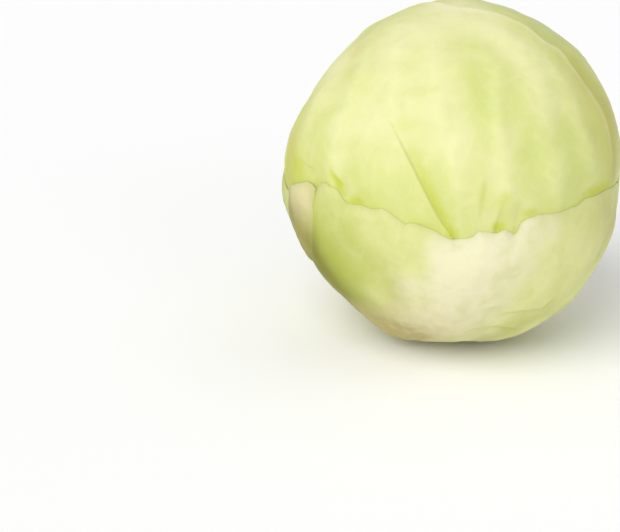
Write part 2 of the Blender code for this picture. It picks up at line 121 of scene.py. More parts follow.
# Layer margins and creases: points, raised side, lip height and width, sunk depth and width,
# and the shares of the length over which it rises and dies away
CREASE = (
    (-26, 34), (-22, 30), (-16.5, 23.5), (-11.7, 16.6), (-8.7, 11.6), (-5.9, 6.7), (-2.9, 1.3),
    (-0.7, -1.9), (1, -4.4), (3, -12),
)
COVER_MARGIN = (
    (66, -4), (67.5, 6), (67, 15), (68.5, 26), (67, 35), (66.5, 44), (69.5, 51.5), (63, 57), (61, 65),
    (55, 72), (33, 80), (0, 84), (-100, 82), (-130, 66), (-140, 45), (-143, 20), (-142, -8),
)
HEAD_LIPS = (
    (CREASE, 1, 0.7, 6, 1.1, 4.2, 0.4, 0),
    (COVER_MARGIN, -1, 0.8, 9, 0.5, 5, 0.1, 0.05),
    (((172, -8), (168, 12), (160, 32), (146, 50), (118, 66), (84, 73)), 1, 0.6, 9, 0.4, 5, 0.1, 0.6),
    (((17.2, 10), (16.2, 5.5), (15.1, 1.2), (13.9, -4)), 1, 0.3, 4, 0.6, 3, 0.5, 0),
    (((-45, 14), (-43.3, 12.4), (-40.8, 10), (-39.5, 4)), 1, 0.4, 4, 0.6, 3, 0.5, 0),
)
MARGIN_LIPS = HEAD_LIPS[1:3]
FOLD_LIPS = HEAD_LIPS[3:]
# Creases too fine for the solids
FINE_LIPS = (
    (((-0.7, 27), (-0.1, 24.8), (1.1, 21.2), (1.8, 18.8), (2.2, 15)), 1, 0.25, 3, 0.25, 1.6, 0.4, 0.4),
    (((9.9, 17), (10.6, 13.8), (10.1, 9.8), (9.7, 6.4), (9, 0)), 1, 0.2, 2.5, 0.45, 2, 0.4, 0.2),
    (((-7.5, 22.5), (-9.3, 20), (-9.9, 17)), -1, 0.3, 2.5, 0.3, 1.5, 0.3, 0.3),
    (((-4, 4), (-1.7, -0.5), (0.2, -5)), -1, 0.2, 1.5, 0.3, 1.2, 0.4, 0),
    (((21.4, 9), (21.1, 3), (20.7, -4)), 1, 0.1, 3, 0.2, 3, 0.4, 0),
    (((-36, 12), (-34.5, 8), (-35.5, 4)), -1, 0.25, 2.5, 0.35, 1.8, 0.4, 0),
    (((-43.4, 12.6), (-42.1, 11.6), (-40.8, 10), (-39.4, 7.6), (-38.5, 5)), 1, 0.3, 1.5, 0.5, 1.2, 0.3,
     0.1),
    (((-41.5, 11.8), (-38.5, 9.8), (-35.5, 7.6)), -1, 0.25, 1.5, 0.4, 1.5, 0.3, 0.3),
    (((60, 12), (54, 7.5), (47, 5.5)), 1, 0.2, 2.5, 0.5, 2, 0.4, 0.2),
    (((-62, 14), (-56, 11), (-48, 10.6)), -1, 0.2, 3, 0.3, 2, 0.4, 0.3),
    (((118, 13), (120, 8), (121, 3)), 1, 0.3, 3, 0.5, 2, 0.5, 0),
    (((204, 16), (207, 9), (206, 2)), -1, 0.3, 3, 0.5, 2, 0.5, 0),
    (((248, 18), (246, 10), (243, 2)), 1, 0.3, 3, 0.5, 2, 0.5, 0),
)

# Ribs of the covering leaves: points, half width and height
RIB_END_SHARE = 0.4
HEAD_RIBS = (
    (((18.5, -2), (18, 12), (17, 23), (16.5, 35), (20, 49), (8, 68)), 2.8, 0.8),
    (((36, 2), (35, 20), (35.5, 31), (37, 38), (42, 50), (40, 58), (30, 70), (-4, 77)), 4.6, 0.9),
    (((2, 12), (1, 20), (-1, 32), (-5, 38), (-15, 62), (-60, 76)), 3.2, 0.8),
    (((-29, 30), (-25, 38), (-39, 60), (-84, 70)), 3.2, 0.7),
    (((-42, 7), (-43, 28), (-44, 36), (-47, 46), (-74, 60)), 3.2, 0.7),
    (((52, 6), (51, 25), (52, 44), (49, 62)), 3.6, 0.6),
    (((-62, 6), (-62, 25), (-69, 46)), 3.4, 0.7),
    (((-82, 6), (-83, 26), (-92, 46)), 3.4, 0.7),
)
BACK_RIB_FIRST_LON = 84
BACK_RIB_STEP = 17
BACK_RIB_COUNT = 11
BACK_RIB_BEND = 7.0
BACK_RIB_TURN = 2.4
BACK_RIB_HALF_WIDTH = 3.6
BACK_RIB_HEIGHT = 0.8

# The outer leaves, as in the solids. Sides are (latitude, longitude) from the stem upwards, and
# the torn top edge is (longitude, latitude) from left to right. Columns and rows are the mesh's,
# and also seed the leaf's tears, curl and small veins.
FRONT_LEAF = {
    "name": "outer_leaf_front",
    "columns": 286,
    "rows": 128,
    "left": ((-75, -44), (-62, -45.5), (-56, -49.5), (-50, -64), (-45, -70), (-40, -74), (-34, -75.5),
             (-30, -72), (-26, -66), (-15, -60), (10, -58)),
    "right": ((-75, 64), (-62, 66), (-56, 70), (-48, 90), (-30, 110), (10, 113)),
    "top": ((-64, 2), (-58, 3), (-52, 4.4), (-49.3, 4.2), (-46.6, 6.6), (-43.7, 7.6), (-40.7, 7),
            (-38.4, 6.2), (-37.2, 4.4), (-35.7, 3.1), (-34.9, 2.5), (-32, 2.9), (-27.1, 3.1),
            (-25.5, 2.7), (-21.5, 3.5), (-19.6, 2.8), (-17.6, 1.4), (-15.5, 0), (-14, -1), (-12.8, -0.3),
            (-10.5, -0.1), (-6.3, -1.5), (-4.1, -2.4), (-1.8, -3.8), (0.1, -4.8), (1.7, -5.2),
            (7.4, -4.4), (8.7, -2.9), (10, -2.4), (15.2, -3.2), (16.5, -2.3), (17.9, -1.9), (19.5, -3),
            (21.3, -4.2), (22.2, -3.1), (23.1, -0.4), (25, 0.6), (28.8, 2), (36.5, 1.5), (40.4, 1.7),
            (44.6, 2.1), (48.7, 3.2), (51.2, 3.5), (55.8, 3), (60, 3.5), (66, 3), (73, 1.6), (86, -1),
            (96, 2), (113, 1)),
    "thickest_side": LEAF_THICKEST,
    "midrib": ((-6, -74), (-1, -50), (6, -32), (10.5, -18), (15, -4)),
    "midrib_height": 1.5,
    "veins": (((-10, -66), (-20, -45), (-27, -31), (-34, -8)), ((-2, -48), (-10, -24), (-20, -4)),
              ((-4, -62), (24, -38), (46, -4)), ((0, -40), (16, -22), (25, -4)),
              ((-2, -68), (48, -44), (82, -12))),
}
LEFT_LEAF = {
    "name": "outer_leaf_left",
    "columns": 56,
    "rows": 120,
    "left": ((-75, -72), (-56, -72), (-50, -75), (-45, -79), (-40, -83), (-34, -85), (-28, -83),
             (-15, -76), (-4, -71), (10, -70)),
    "right": ((-75, -46), (-62, -47.5), (-56, -53), (-50, -61), (-45, -66.5), (-40, -70), (-34, -71.5),
              (-30, -66), (-26.5, -57), (-23.5, -53.6), (-18.3, -51.4), (-11.4, -50), (-7.5, -49.6),
              (-3.4, -49.1), (1.7, -48.7), (10, -48)),
    "top": ((-78, -5.2), (-73.8, -3), (-69, -1), (-66.1, 0.8), (-59.1, 3.6), (-53.5, 5.6), (-50.9, 5.3),
            (-49.3, 4.4), (-47, 4)),
    "thickest_side": 1.8,
    "midrib": ((-60, -74), (-61, -50), (-61, -26), (-60, -8)),
    "midrib_height": 0.5,
    "veins": (),
}
BACK_RIGHT_LEAF = {
    "name": "outer_leaf_back_right",
    "columns": 160,
    "rows": 104,
    "left": ((-75, 66), (-62, 68), (-50, 80), (-30, 95), (10, 98)),
    "right": ((-75, 158), (-62, 160), (-56, 164), (-48, 180), (-30, 196), (10, 196)),
    "top": ((98, 2), (103, 5), (109, 5.5), (114, 2), (121, 3.5), (130, 6.5), (139, 5), (146, 7.5),
            (153, 3), (160, -1), (166, 1.5), (175, 4.5), (184, 6), (196, 4)),
    "thickest_side": LEAF_THICKEST,
    "midrib": ((112, -74), (128, -50), (138, -26), (140, -6)),
    "midrib_height": 1.4,
    "veins": (((114, -62), (108, -36), (104, -6)), ((122, -56), (122, -30), (120, -6)),
              ((120, -60), (158, -36), (170, -6)), ((130, -46), (150, -24), (154, -6))),
}
BACK_LEFT_LEAF = {
    "name": "outer_leaf_back_left",
    "columns": 180,
    "rows": 104,
    "left": ((-75, 160), (-62, 162), (-50, 172), (-30, 180), (10, 182)),
    "right": ((-75, 286), (-62, 287), (-50, 287), (-45, 285.5), (-40, 282), (-34, 280.5), (-30, 283),
              (-26, 288), (-15, 293.5), (10, 294)),
    "top": ((182, 6), (190, 9), (197, 7.5), (204, 2.5), (211, 4), (219, 5.5), (228, 3.5), (236, -0.5),
            (243, 1.5), (252, 4.5), (261, 4), (268, 1), (274, -1), (280, -2), (286, -3), (296, -4)),
    "thickest_side": LEAF_THICKEST,
    "midrib": ((222, -74), (230, -50), (234, -26), (236, -8)),
    "midrib_height": 1.4,
    "veins": (((220, -62), (200, -36), (194, -6)), ((226, -48), (216, -24), (212, -6)),
              ((224, -62), (262, -38), (276, -8)), ((230, -48), (248, -24), (256, -6))),
}
LEAVES = (
    (FRONT_LEAF, ()),
    (LEFT_LEAF, ((FRONT_LEAF, "left"), (BACK_LEFT_LEAF, "right"))),
    (BACK_RIGHT_LEAF, ((FRONT_LEAF, "right"),)),
    (BACK_LEFT_LEAF, ((BACK_RIGHT_LEAF, "right"),)),
)
MIDRIB_FOOT_HALF_WIDTH = 15.0
MIDRIB_TIP_HALF_WIDTH = 8.0
MIDRIB_TIP_SHARE = 0.4
VEIN_HALF_WIDTH = 3.2
VEIN_HEIGHT = 0.4


# Shape formulas, as in the solids but for sharper lips and thinner leaf edges

def unit(lon, lat):
    """Directions from the head's centre for longitudes and latitudes in degrees."""
    lon, lat = np.radians(lon), np.radians(lat)
    return np.stack((np.sin(lon) * np.cos(lat), -np.cos(lon) * np.cos(lat), np.sin(lat)), axis=-1)


def smoothstep(x):
    """Rise from 0 to 1 with level ends."""
    x = np.clip(x, 0.0, 1.0)
    return x * x * (3.0 - 2.0 * x)


def ramp(x, start, full):
    """Rise from 0 at the start to 1 at the full end, which may be the lower of the two."""
    return smoothstep((x - start) / (full - start))


def bell(x, spread):
    """1 at nought, dying away on either side."""
    return np.exp(-0.5 * (x / spread) ** 2)


def turn_into(lon, first, last):
    """Longitudes moved by whole turns to lie nearest the middle of a range."""
    return lon + 360.0 * np.round((0.5 * (first + last) - lon) / 360.0)


def smooth_through(knots, pieces=4):
    """Directions along a smooth line through a few directions."""
    knots = np.vstack((2 * knots[0] - knots[1], knots, 2 * knots[-1] - knots[-2]))
    steps = np.arange(pieces)[:, None] / pieces
    line = []
    for a, b, c, d in zip(knots, knots[1:], knots[2:], knots[3:]):
        line.append(0.5 * (2 * b + (c - a) * steps + (2 * a - 5 * b + 4 * c - d) * steps ** 2
                           + (3 * b - a - 3 * c + d) * steps ** 3))
    line = np.vstack(line + [knots[-2:-1]])
    return line / np.linalg.norm(line, axis=1)[:, None]


def smooth_line(points, pieces=4):
    """Directions along a smooth line through (longitude, latitude) points."""
    return smooth_through(unit(*np.array(points, float).T), pieces)


def along_line(direction, line):
    """Distance from a line in millimetres, the share of its length passed, and the side.
    Points far beyond the line's reach are left out, at an endless distance."""
    distance = np.full(len(direction), np.inf)
    share = np.zeros(len(direction))
    side = np.ones(len(direction))
    middle = line.mean(axis=0)
    reach = np.linalg.norm(line - middle, axis=1).max() + LINE_REACH / BODY_RADIUS
    near = np.flatnonzero(np.linalg.norm(direction - middle, axis=1) < reach)
    lengths = np.linalg.norm(np.diff(line, axis=0), axis=1)
    passed = np.concatenate(([0.0], np.cumsum(lengths)))
    close = direction[near]
    for start, end, length, before in zip(line, line[1:], lengths, passed):
        step = end - start
        along = np.clip((close - start) @ step / length ** 2, 0.0, 1.0)
        offset = close - (start + along[:, None] * step)
        here = np.linalg.norm(offset, axis=1)
        better = here < distance[near]
        found = near[better]
        distance[found] = here[better]
        share[found] = (before + along[better] * length) / passed[-1]
        side[found] = np.where(offset[better] @ np.cross(step, start) >= 0.0, 1.0, -1.0)
    return distance * BODY_RADIUS, share, side


def forms(direction, table):
    """Sum of round bulges and hollows, or of round patches of colour."""
    height = np.zeros(len(direction))
    for lon, lat, spread, size in table:
        angle = np.degrees(np.arccos(np.clip(direction @ unit(lon, lat), -1.0, 1.0)))
        height += size * bell(angle, spread)
    return height


def lip_lines(direction, table, softness):
    """For each lip: its sizes, the distance from it, and how far points are on its raised side
    and between its ends."""
    for points, raised_side, *sizes, rise, fall in table:
        distance, share, side = along_line(direction, smooth_line(points))
        over = 0.5 + 0.5 * np.tanh(distance * side * raised_side / softness)
        ends = smoothstep(share / max(rise, LEAST_SHARE))
        ends *= smoothstep((1.0 - share) / max(fall, LEAST_SHARE))
        yield sizes, distance, over, ends


def lips(direction, table, softness):
    """Raised lip and sunk side along each line, with the step between them softened."""
    height = np.zeros(len(direction))
    for (lip, lip_width, sink, sink_width), distance, over, ends in lip_lines(direction, table, softness):
        profile = over * lip * np.exp(-distance / lip_width)
        profile -= (1.0 - over) * sink * np.exp(-distance / sink_width)
        height += profile * ends
    return height


def ribs(direction, table):
    """Round ridges that taper to nothing at their upper ends."""
    height = np.zeros(len(direction))
    for points, half_width, size in table:
        distance, share, _ = along_line(direction, smooth_line(points))
        end = smoothstep((1.0 - share) / RIB_END_SHARE)
        height += size * end * bell(distance, half_width)
    return height


def back_ribs():
    """Ribs of the sides and back, which bend alternately left and right."""
    table = []
    for number in range(BACK_RIB_COUNT):
        lon = BACK_RIB_FIRST_LON + number * BACK_RIB_STEP
        bend = BACK_RIB_BEND * math.sin(BACK_RIB_TURN * number)
        points = ((lon, 2), (lon + bend, 24), (lon + bend, 44), (lon - bend, 64))
        table.append((points, BACK_RIB_HALF_WIDTH, BACK_RIB_HEIGHT))
    return tuple(table)


def flattened(radius, lat, depth, sharpness):
    """Radius cut off softly by the level plane at this depth below the centre."""
    plane = depth / np.maximum(-np.sin(np.radians(lat)), FLAT_LEAST_SINE)
    return (radius ** -sharpness + plane ** -sharpness) ** (-1.0 / sharpness)


def body_radius(lon, lat):
    """Radius of the whole cabbage before the head draws in and the leaves are laid on."""
    return BODY_RADIUS + forms(unit(lon, lat), BODY_FORMS)


def head_core_radius(lon, lat):
    """Radius of the head without its fine relief."""
    tuck = TUCK_DEPTH * ramp(lat, TUCK_TOP_LAT, TUCK_FULL_LAT)
    return flattened(body_radius(lon, lat) - tuck, lat, HEAD_FLAT_DEPTH, HEAD_FLAT_SHARPNESS)


def head_relief(lon, lat, softness):
    """Height of the pockets, layer margins, crease and ribs, which die out under the leaves."""
    direction = unit(lon, lat)
    relief = forms(direction, HEAD_POCKETS) + lips(direction, HEAD_LIPS, softness)
    relief += ribs(direction, HEAD_RIBS + back_ribs())
    return relief * ramp(lat, RELIEF_END_LAT, RELIEF_FULL_LAT)


def crease_lon(lat):
    """Longitude of the long crease at a latitude."""
    lons, lats = np.array(CREASE[::-1], float).T
    return np.interp(lat, lats, lons)


def crowd_columns(lon, lat):
    """Longitudes drawn closer together on the front, and closer still along the crease."""
    lon = lon - FRONT_CROWDING * np.sin(np.radians(lon))
    middle = crease_lon(CREASE_MIDDLE_LAT)
    from_crease = lon - middle
    pull = 1.0 - CREASE_CROWDING * bell(from_crease, CREASE_CROWDING_WIDTH)
    lean = (crease_lon(lat) - middle) * bell(from_crease, CREASE_LEAN_WIDTH)
    lean *= smoothstep((CREASE_LEAN_TOP_LAT - lat) / CREASE_LEAN_FADE)
    lean *= smoothstep((lat - CREASE_LEAN_BOTTOM_LAT) / CREASE_LEAN_FADE)
    return middle + from_crease * pull + lean


def place(lon, lat, radius):
    """Points in millimetres from longitude, latitude and radius about the head's centre."""
    points = unit(lon, lat) * np.asarray(radius)[:, None]
    points[:, 2] += CENTRE_HEIGHT
    return points


def side_lon(leaf, side, lat):
    """Longitude of a leaf's left or right edge at a latitude."""
    return np.interp(lat, *np.array(leaf[side], float).T)


def top_lat(leaf, lon):
    """Latitude of a leaf's torn top edge at a longitude."""
    return np.interp(lon, *np.array(leaf["top"], float).T)


def leaf_thickness(leaf, lon, lat):
    """Thickness of a leaf: thin at its edges, full on its face and thick where it meets the stem."""
    core = head_core_radius(lon, lat) + LEAF_GAP
    depth = CENTRE_HEIGHT - LEAF_FOOT_CLEARANCE
    full = flattened(body_radius(lon, lat), lat, depth, LEAF_FLAT_SHARPNESS) - core
    foot = ramp(lat, FOOT_THICK_START_LAT, FOOT_THICK_FULL_LAT)
    full = np.minimum(full, leaf["thickest_side"]) * (1.0 - foot) + full * foot
    to_side = np.minimum(lon - side_lon(leaf, "left", lat), side_lon(leaf, "right", lat) - lon)
    by_side = np.maximum(smoothstep(to_side / LEAF_SIDE_TAPER), foot)
    tops = [top_lat(leaf, lon + step) for step in TOP_SMOOTHING_STEPS]
    by_top = smoothstep((np.mean(tops, axis=0) - lat) / LEAF_EDGE_TAPER)
    share = np.minimum(by_side, by_top)
    thickness = LEAF_MARGIN_THICKNESS + (full - LEAF_MARGIN_THICKNESS) * share
    return thickness + leaf_relief(leaf, lon, lat) * share * (1.0 - foot)


def leaf_relief(leaf, lon, lat):
    """The wide midrib, which narrows upwards, and the side veins."""
    direction = unit(lon, lat)
    distance, share, _ = along_line(direction, smooth_line(leaf["midrib"]))
    half_width = MIDRIB_FOOT_HALF_WIDTH + (MIDRIB_TIP_HALF_WIDTH - MIDRIB_FOOT_HALF_WIDTH) * share
    height = leaf["midrib_height"] * (1.0 - (1.0 - MIDRIB_TIP_SHARE) * share)
    height *= bell(distance, half_width)
    for points in leaf["veins"]:
        distance, share, _ = along_line(direction, smooth_line(points))
        height += VEIN_HEIGHT * bell(distance, VEIN_HALF_WIDTH) * (1.0 - share)
    return height


def lift_over(lower, edge, lon, lat):
    """How far a leaf is raised where it passes over another leaf's left or right edge."""
    lon = turn_into(lon, lower["top"][0][0], lower["top"][-1][0])
    edge_lon = side_lon(lower, edge, lat)
    inward = lon - edge_lon if edge == "left" else edge_lon - lon
    over = smoothstep((inward + OVERLAP_MARGIN + OVERLAP_RAMP) / OVERLAP_RAMP)
    overlapping = ramp(lat, OVERLAP_END_LAT, OVERLAP_FULL_LAT)
    reach = np.clip(lon, side_lon(lower, "left", lat), side_lon(lower, "right", lat))
    thickness = leaf_thickness(lower, reach, lat)
    to_top = np.maximum(top_lat(lower, reach) - lat, 0.0) * MM_PER_DEGREE
    thickness -= (thickness - EDGE_THICKNESS) * np.exp(-to_top / EDGE_THINNING_REACH)
    return over * overlapping * (thickness + OVERLAP_GAP)


def leaf_grid(leaf, across, up):
    """Longitude and latitude for shares across the leaf and up from the stem."""
    foot_lat = -math.degrees(math.acos(LEAF_FOOT_RADIUS / LEAF_FOOT_DEPTH))
    near_lat = foot_lat * (1.0 - up)
    left, right = side_lon(leaf, "left", near_lat), side_lon(leaf, "right", near_lat)
    lon = left + (right - left) * across
    return lon, foot_lat + (top_lat(leaf, lon) - foot_lat) * up


# Fine relief that only the looks have

LIP_SOFTNESS = 0.45
UNDERLAY_SOFTNESS = 1.2
# Waves added up in a random field, and how their lengths spread
WAVE_COUNT = 18
WAVE_SPREAD = (0.6, 1.3)
# Length, height and seed of the bumps that every layer follows
UNDULATIONS = ((34, 0.28, 11), (15, 0.11, 12))
UNDULATION_SINK = 0.35
UNDULATION_END_LAT = -72.0
UNDULATION_FADE = 22.0
GRAIN_LENGTH = 6.0
GRAIN_HEIGHT = 0.03
HEAD_GRAIN_SEED = 13
LEAF_GRAIN_SEED = 23

# Small veins leave each rib by turns to its left and right
RIB_PIECES = 8
VEIN_KNOTS = 3
VEIN_PIECES = 2
VEIN_SPACING = 8.0
VEIN_REACH = 18.0
VEIN_LEAVE_ANGLE = 52.0
VEIN_END_ANGLE = 18.0
VEIN_JITTER = 0.2
VEIN_LENGTH_RANGE = (0.6, 1.2)
SMALL_VEIN_HALF_WIDTH = 0.75
HEAD_SMALL_VEIN_HEIGHT = 0.05
LEAF_SMALL_VEIN_HEIGHT = 0.08
SMALL_VEIN_FADE = 0.85
HEAD_VEIN_SEED = 300
LEAF_VEIN_SEED = 500

# Torn edges: wave length, size in degrees and seed of each size of tear
TEARS = ((15, 0.22, 41), (6, 0.2, 42), (2.6, 0.12, 43))
RAGGED_LENGTH = 46.0
RAGGED_LEAST = 0.25
RAGGED_CONTRAST = 0.7
LOBE_MEAN = 0.8
TEAR_REACH_POWER = 3
SIDE_WOBBLE = 0.35
SIDE_WOBBLE_LENGTH = 14.0
SIDE_WOBBLE_POWER = 4
SIDE_WOBBLE_SEED = 70
EDGE_GAP = 0.03
EDGE_GAP_REACH = 9.0
EDGE_HUG_REACH = 4.0
OVERLAP_GAP = 0.12
EDGE_THICKNESS = 0.22
EDGE_LINE_STEP = 0.4
EDGE_THINNING_REACH = 2.8
EDGE_CURL = 0.5
EDGE_CURL_LENGTH = 24.0
EDGE_CURL_START = 0.7
EDGE_CURL_REACH = 2.2
RIM_ROUNDING = 0.5
RIM_DRAW_IN = 0.4
HEAD_DETAIL_FADE = 1.2

# Rows and columns are closer together near the edges, and on the head near its creases
FIRST_STEP_SHRINK = 0.86
FIRST_STEP_REACH = 3.0
LAST_STEP_SHRINK = 0.90
LAST_STEP_REACH = 4.0
ROW_HIDDEN_WEIGHT = 0.35
ROW_HIDDEN_LAT = -25.0
ROW_HIDDEN_FADE = 20.0
ROW_CREASE_WEIGHT = 0.9
ROW_CREASE_LAT = 12.0
ROW_CREASE_SPREAD = 18.0
ROW_STEPS = 721

# Creases on the outer leaves, written as the head's lips are, sharp ones and soft ones
LEAF_CREASE_SOFTNESS = 0.5
LEAF_CREASES = (
    (((16, -38.2), (19.3, -36.8), (24.2, -35.5), (30.2, -35.3), (38.5, -35.9), (40.7, -34.6),
     (43.4, -31.9), (45, -29.5)), -1, 0.35, 2.5, 0.9, 2.2, 0.5, 0.3),
    (((4, -48.6), (8.5, -45.5), (13, -43.4), (21, -43.4), (28.7, -45.1), (35.9, -47), (39.5, -45.2),
     (45, -42)), -1, 0.35, 2.5, 0.8, 2.4, 0.3, 0.4),
    (((57.4, -9.6), (59.5, -7.6), (62.1, -5.5), (65.2, -4.4), (69.5, -3.6)), -1, 0.2, 1.5, 0.4, 1, 0.3,
     0.3),
    (((62, -12.6), (64.5, -11), (67, -9.4), (69.5, -7.8)), -1, 0.15, 1.5, 0.3, 1, 0.3, 0.3),
    (((64, -16), (68, -13.8), (72, -12)), -1, 0.15, 1.5, 0.3, 1, 0.3, 0.3),
    (((70, -4), (74, -22), (70, -38)), -1, 0.2, 5, 0.2, 3, 0.3, 0.4),
    (((118, 0), (114, -18), (118, -36)), 1, 0.2, 5, 0.25, 3, 0.3, 0.4),
    (((206, -2), (210, -22), (204, -40)), 1, 0.2, 5, 0.25, 3, 0.3, 0.4),
    (((250, -2), (246, -16), (250, -30)), -1, 0.2, 5, 0.25, 3, 0.3, 0.4),
)
SOFT_CREASE_SOFTNESS = 2.4
SOFT_CREASES = (
    (((-31, -18), (-28, -29.7), (-24.5, -36.4), (-21, -43.5), (-18, -52)), -1, 0.3, 9, 0.7, 9, 0.3, 0.3),
    (((15, -5), (12.5, -10.7), (10.5, -15), (8.6, -23), (4, -34)), 1, 0.2, 9, 0.3, 7, 0.3, 0.3),
    (((11, -33.8), (13.1, -32.8), (16.4, -31.9), (19.9, -31.2), (23, -30.4)), -1, 0.2, 4, 0.5, 3, 0.4, 0.5),
    (((-42, -4), (-36, -16), (-30, -28)), 1, 0.2, 6, 0.3, 5, 0.3, 0.4),
    (((36, -2), (40, -14), (38, -26)), 1, 0.2, 6, 0.3, 5, 0.3, 0.4),
)
# Soft crease that is painted too
PAINTED_SOFT_CREASES = SOFT_CREASES[2:3]


def waves(direction, length, seed):
    """Smooth random field of about unit size, with bumps of this length in millimetres."""
    random = np.random.default_rng(seed)
    axes = random.normal(size=(WAVE_COUNT, 3))
    axes /= np.linalg.norm(axes, axis=1)[:, None]
    turns = 2.0 * math.pi * BODY_RADIUS / length * random.uniform(*WAVE_SPREAD, WAVE_COUNT)
    starts = random.uniform(0.0, 2.0 * math.pi, WAVE_COUNT)
    field = np.zeros(len(direction))
    for axis, turn, start in zip(axes, turns, starts):
        field += np.sin(direction @ axis * turn + start)
    return field * math.sqrt(2.0 / WAVE_COUNT)


def undulation(direction, lat):
    """Shallow bumps that every layer follows and that die out round the stem."""
    height = np.full(len(direction), -UNDULATION_SINK)
    for length, size, seed in UNDULATIONS:
        height += size * waves(direction, length, seed)
    return height * smoothstep((lat - UNDULATION_END_LAT) / UNDULATION_FADE)


def branches(points, seed):
    """Small veins that leave a rib by turns to its left and right and bend along it."""
    random = np.random.default_rng(seed)
    rib = smooth_line(points, RIB_PIECES)
    passed = np.concatenate(([0.0], np.cumsum(np.linalg.norm(np.diff(rib, axis=0), axis=1))))
    passed *= BODY_RADIUS
    lines = []
    side = 1.0
    for at in np.arange(VEIN_SPACING, passed[-1] - VEIN_SPACING, VEIN_SPACING / 2):
        at += random.uniform(-VEIN_JITTER, VEIN_JITTER) * VEIN_SPACING
        index = int(np.clip(np.searchsorted(passed, at), 1, len(rib) - 1))
        start, ahead = rib[index], rib[index] - rib[index - 1]
        ahead = ahead / np.linalg.norm(ahead)
        aside = np.cross(ahead, start) * side
        side = -side
        reach = VEIN_REACH * random.uniform(*VEIN_LENGTH_RANGE) / BODY_RADIUS
        knots = [start]
        for angle in np.radians(np.linspace(VEIN_LEAVE_ANGLE, VEIN_END_ANGLE, VEIN_KNOTS)):
            step = ahead * math.cos(angle) + aside * math.sin(angle)
            knots.append(knots[-1] + step * reach / VEIN_KNOTS)
        lines.append(smooth_through(np.array(knots), VEIN_PIECES))
    return lines


def small_veins(direction, rib_lines, seed):
    """Share of a small vein at each point, 1 on its middle line and fading to its tip."""
    strength = np.zeros(len(direction))
    for number, points in enumerate(rib_lines):
        for line in branches(points, seed + number):
            distance, share, _ = along_line(direction, line)
            here = bell(distance, SMALL_VEIN_HALF_WIDTH) * (1.0 - SMALL_VEIN_FADE * share)
            strength = np.maximum(strength, here)
    return strength


def lip_shares(direction, table, softness, sunk_reach, highlight_half_width):
    """Shares for painting creases: the painted shade of the sunk side, and the painted highlight along the
    raised side.
    """
    sunk = np.zeros(len(direction))
    ridge = np.zeros(len(direction))
    for (lip, _, sink, sink_width), distance, over, ends in lip_lines(direction, table, softness):
        here = (1.0 - over) * ends * np.exp(-distance / (sink_width * sunk_reach)) * min(1.0, sink)
        sunk = np.maximum(sunk, here)
        here = over * ends * bell(distance, highlight_half_width) * min(1.0, lip)
        ridge = np.maximum(ridge, here)
    return sunk, ridge


def torn_top(leaf, lon):
    """Latitude of the torn top edge: ragged in places, with small notches between rounded lobes."""
    ring = unit(lon, np.zeros(len(lon)))
    ragged = waves(ring, RAGGED_LENGTH, leaf["columns"])
    ragged = RAGGED_LEAST + (1.0 - RAGGED_LEAST) * smoothstep(0.5 + RAGGED_CONTRAST * ragged)
    lat = top_lat(leaf, lon)
    for length, size, seed in TEARS:
        lobes = np.sqrt(np.abs(waves(ring, length, seed + leaf["columns"])))
        lat = lat + size * ragged * (lobes - LOBE_MEAN)
    return lat


def from_torn_edge(leaf, direction):
    """Distance in millimetres from a leaf's torn top edge."""
    lon = np.arange(leaf["top"][0][0], leaf["top"][-1][0], EDGE_LINE_STEP)
    distance, _, _ = along_line(direction, unit(lon, torn_top(leaf, lon)))
    return distance


def nearest_top_lat(lon):
    """Latitude of the torn edge that shows at each longitude, over all the leaves."""
    highest = np.full(len(lon), RELIEF_END_LAT)
    for leaf, _ in LEAVES:
        first, last = leaf["top"][0][0], leaf["top"][-1][0]
        turned = turn_into(lon, first, last)
        inside = (turned >= first) & (turned <= last)
        highest = np.where(inside, np.maximum(highest, torn_top(leaf, turned)), highest)
    return highest


def paint(obj, layers):
    """Store named shares on the points of a mesh for its material."""
    for name, values in layers.items():
        attribute = obj.data.attributes.new(name, "FLOAT", "POINT")
        attribute.data.foreach_set("value", np.clip(values, 0.0, 1.0).astype(np.float32))


def add_piece(mesh, name, material, node):
    """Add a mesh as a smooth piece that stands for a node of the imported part."""
    mesh.shade_smooth()
    mesh.materials.append(material)
    obj = bpy.data.objects.new(name, mesh)
    bpy.context.scene.collection.objects.link(obj)
    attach(obj, "root")
    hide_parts(node)
    return obj


# How strongly painted shade, a saturated green, lies on the head just above the torn edge, by longitude
EDGE_SHADES = (
    (-90, 0.8), (-62, 0.5), (-52, 0.6), (-43, 0.75), (-37, 0.6), (-30, 0.65), (-20, 0.4), (-10, 0.45),
    (-3, 0.5), (2, 0.1), (11, 0.1), (14, 0.4), (20, 0.25), (24, 0.3), (40, 0.4), (49, 1), (60, 0.8),
    (90, 0.6), (270, 0.8),
)
EDGE_SHADE_REACH = 3.2
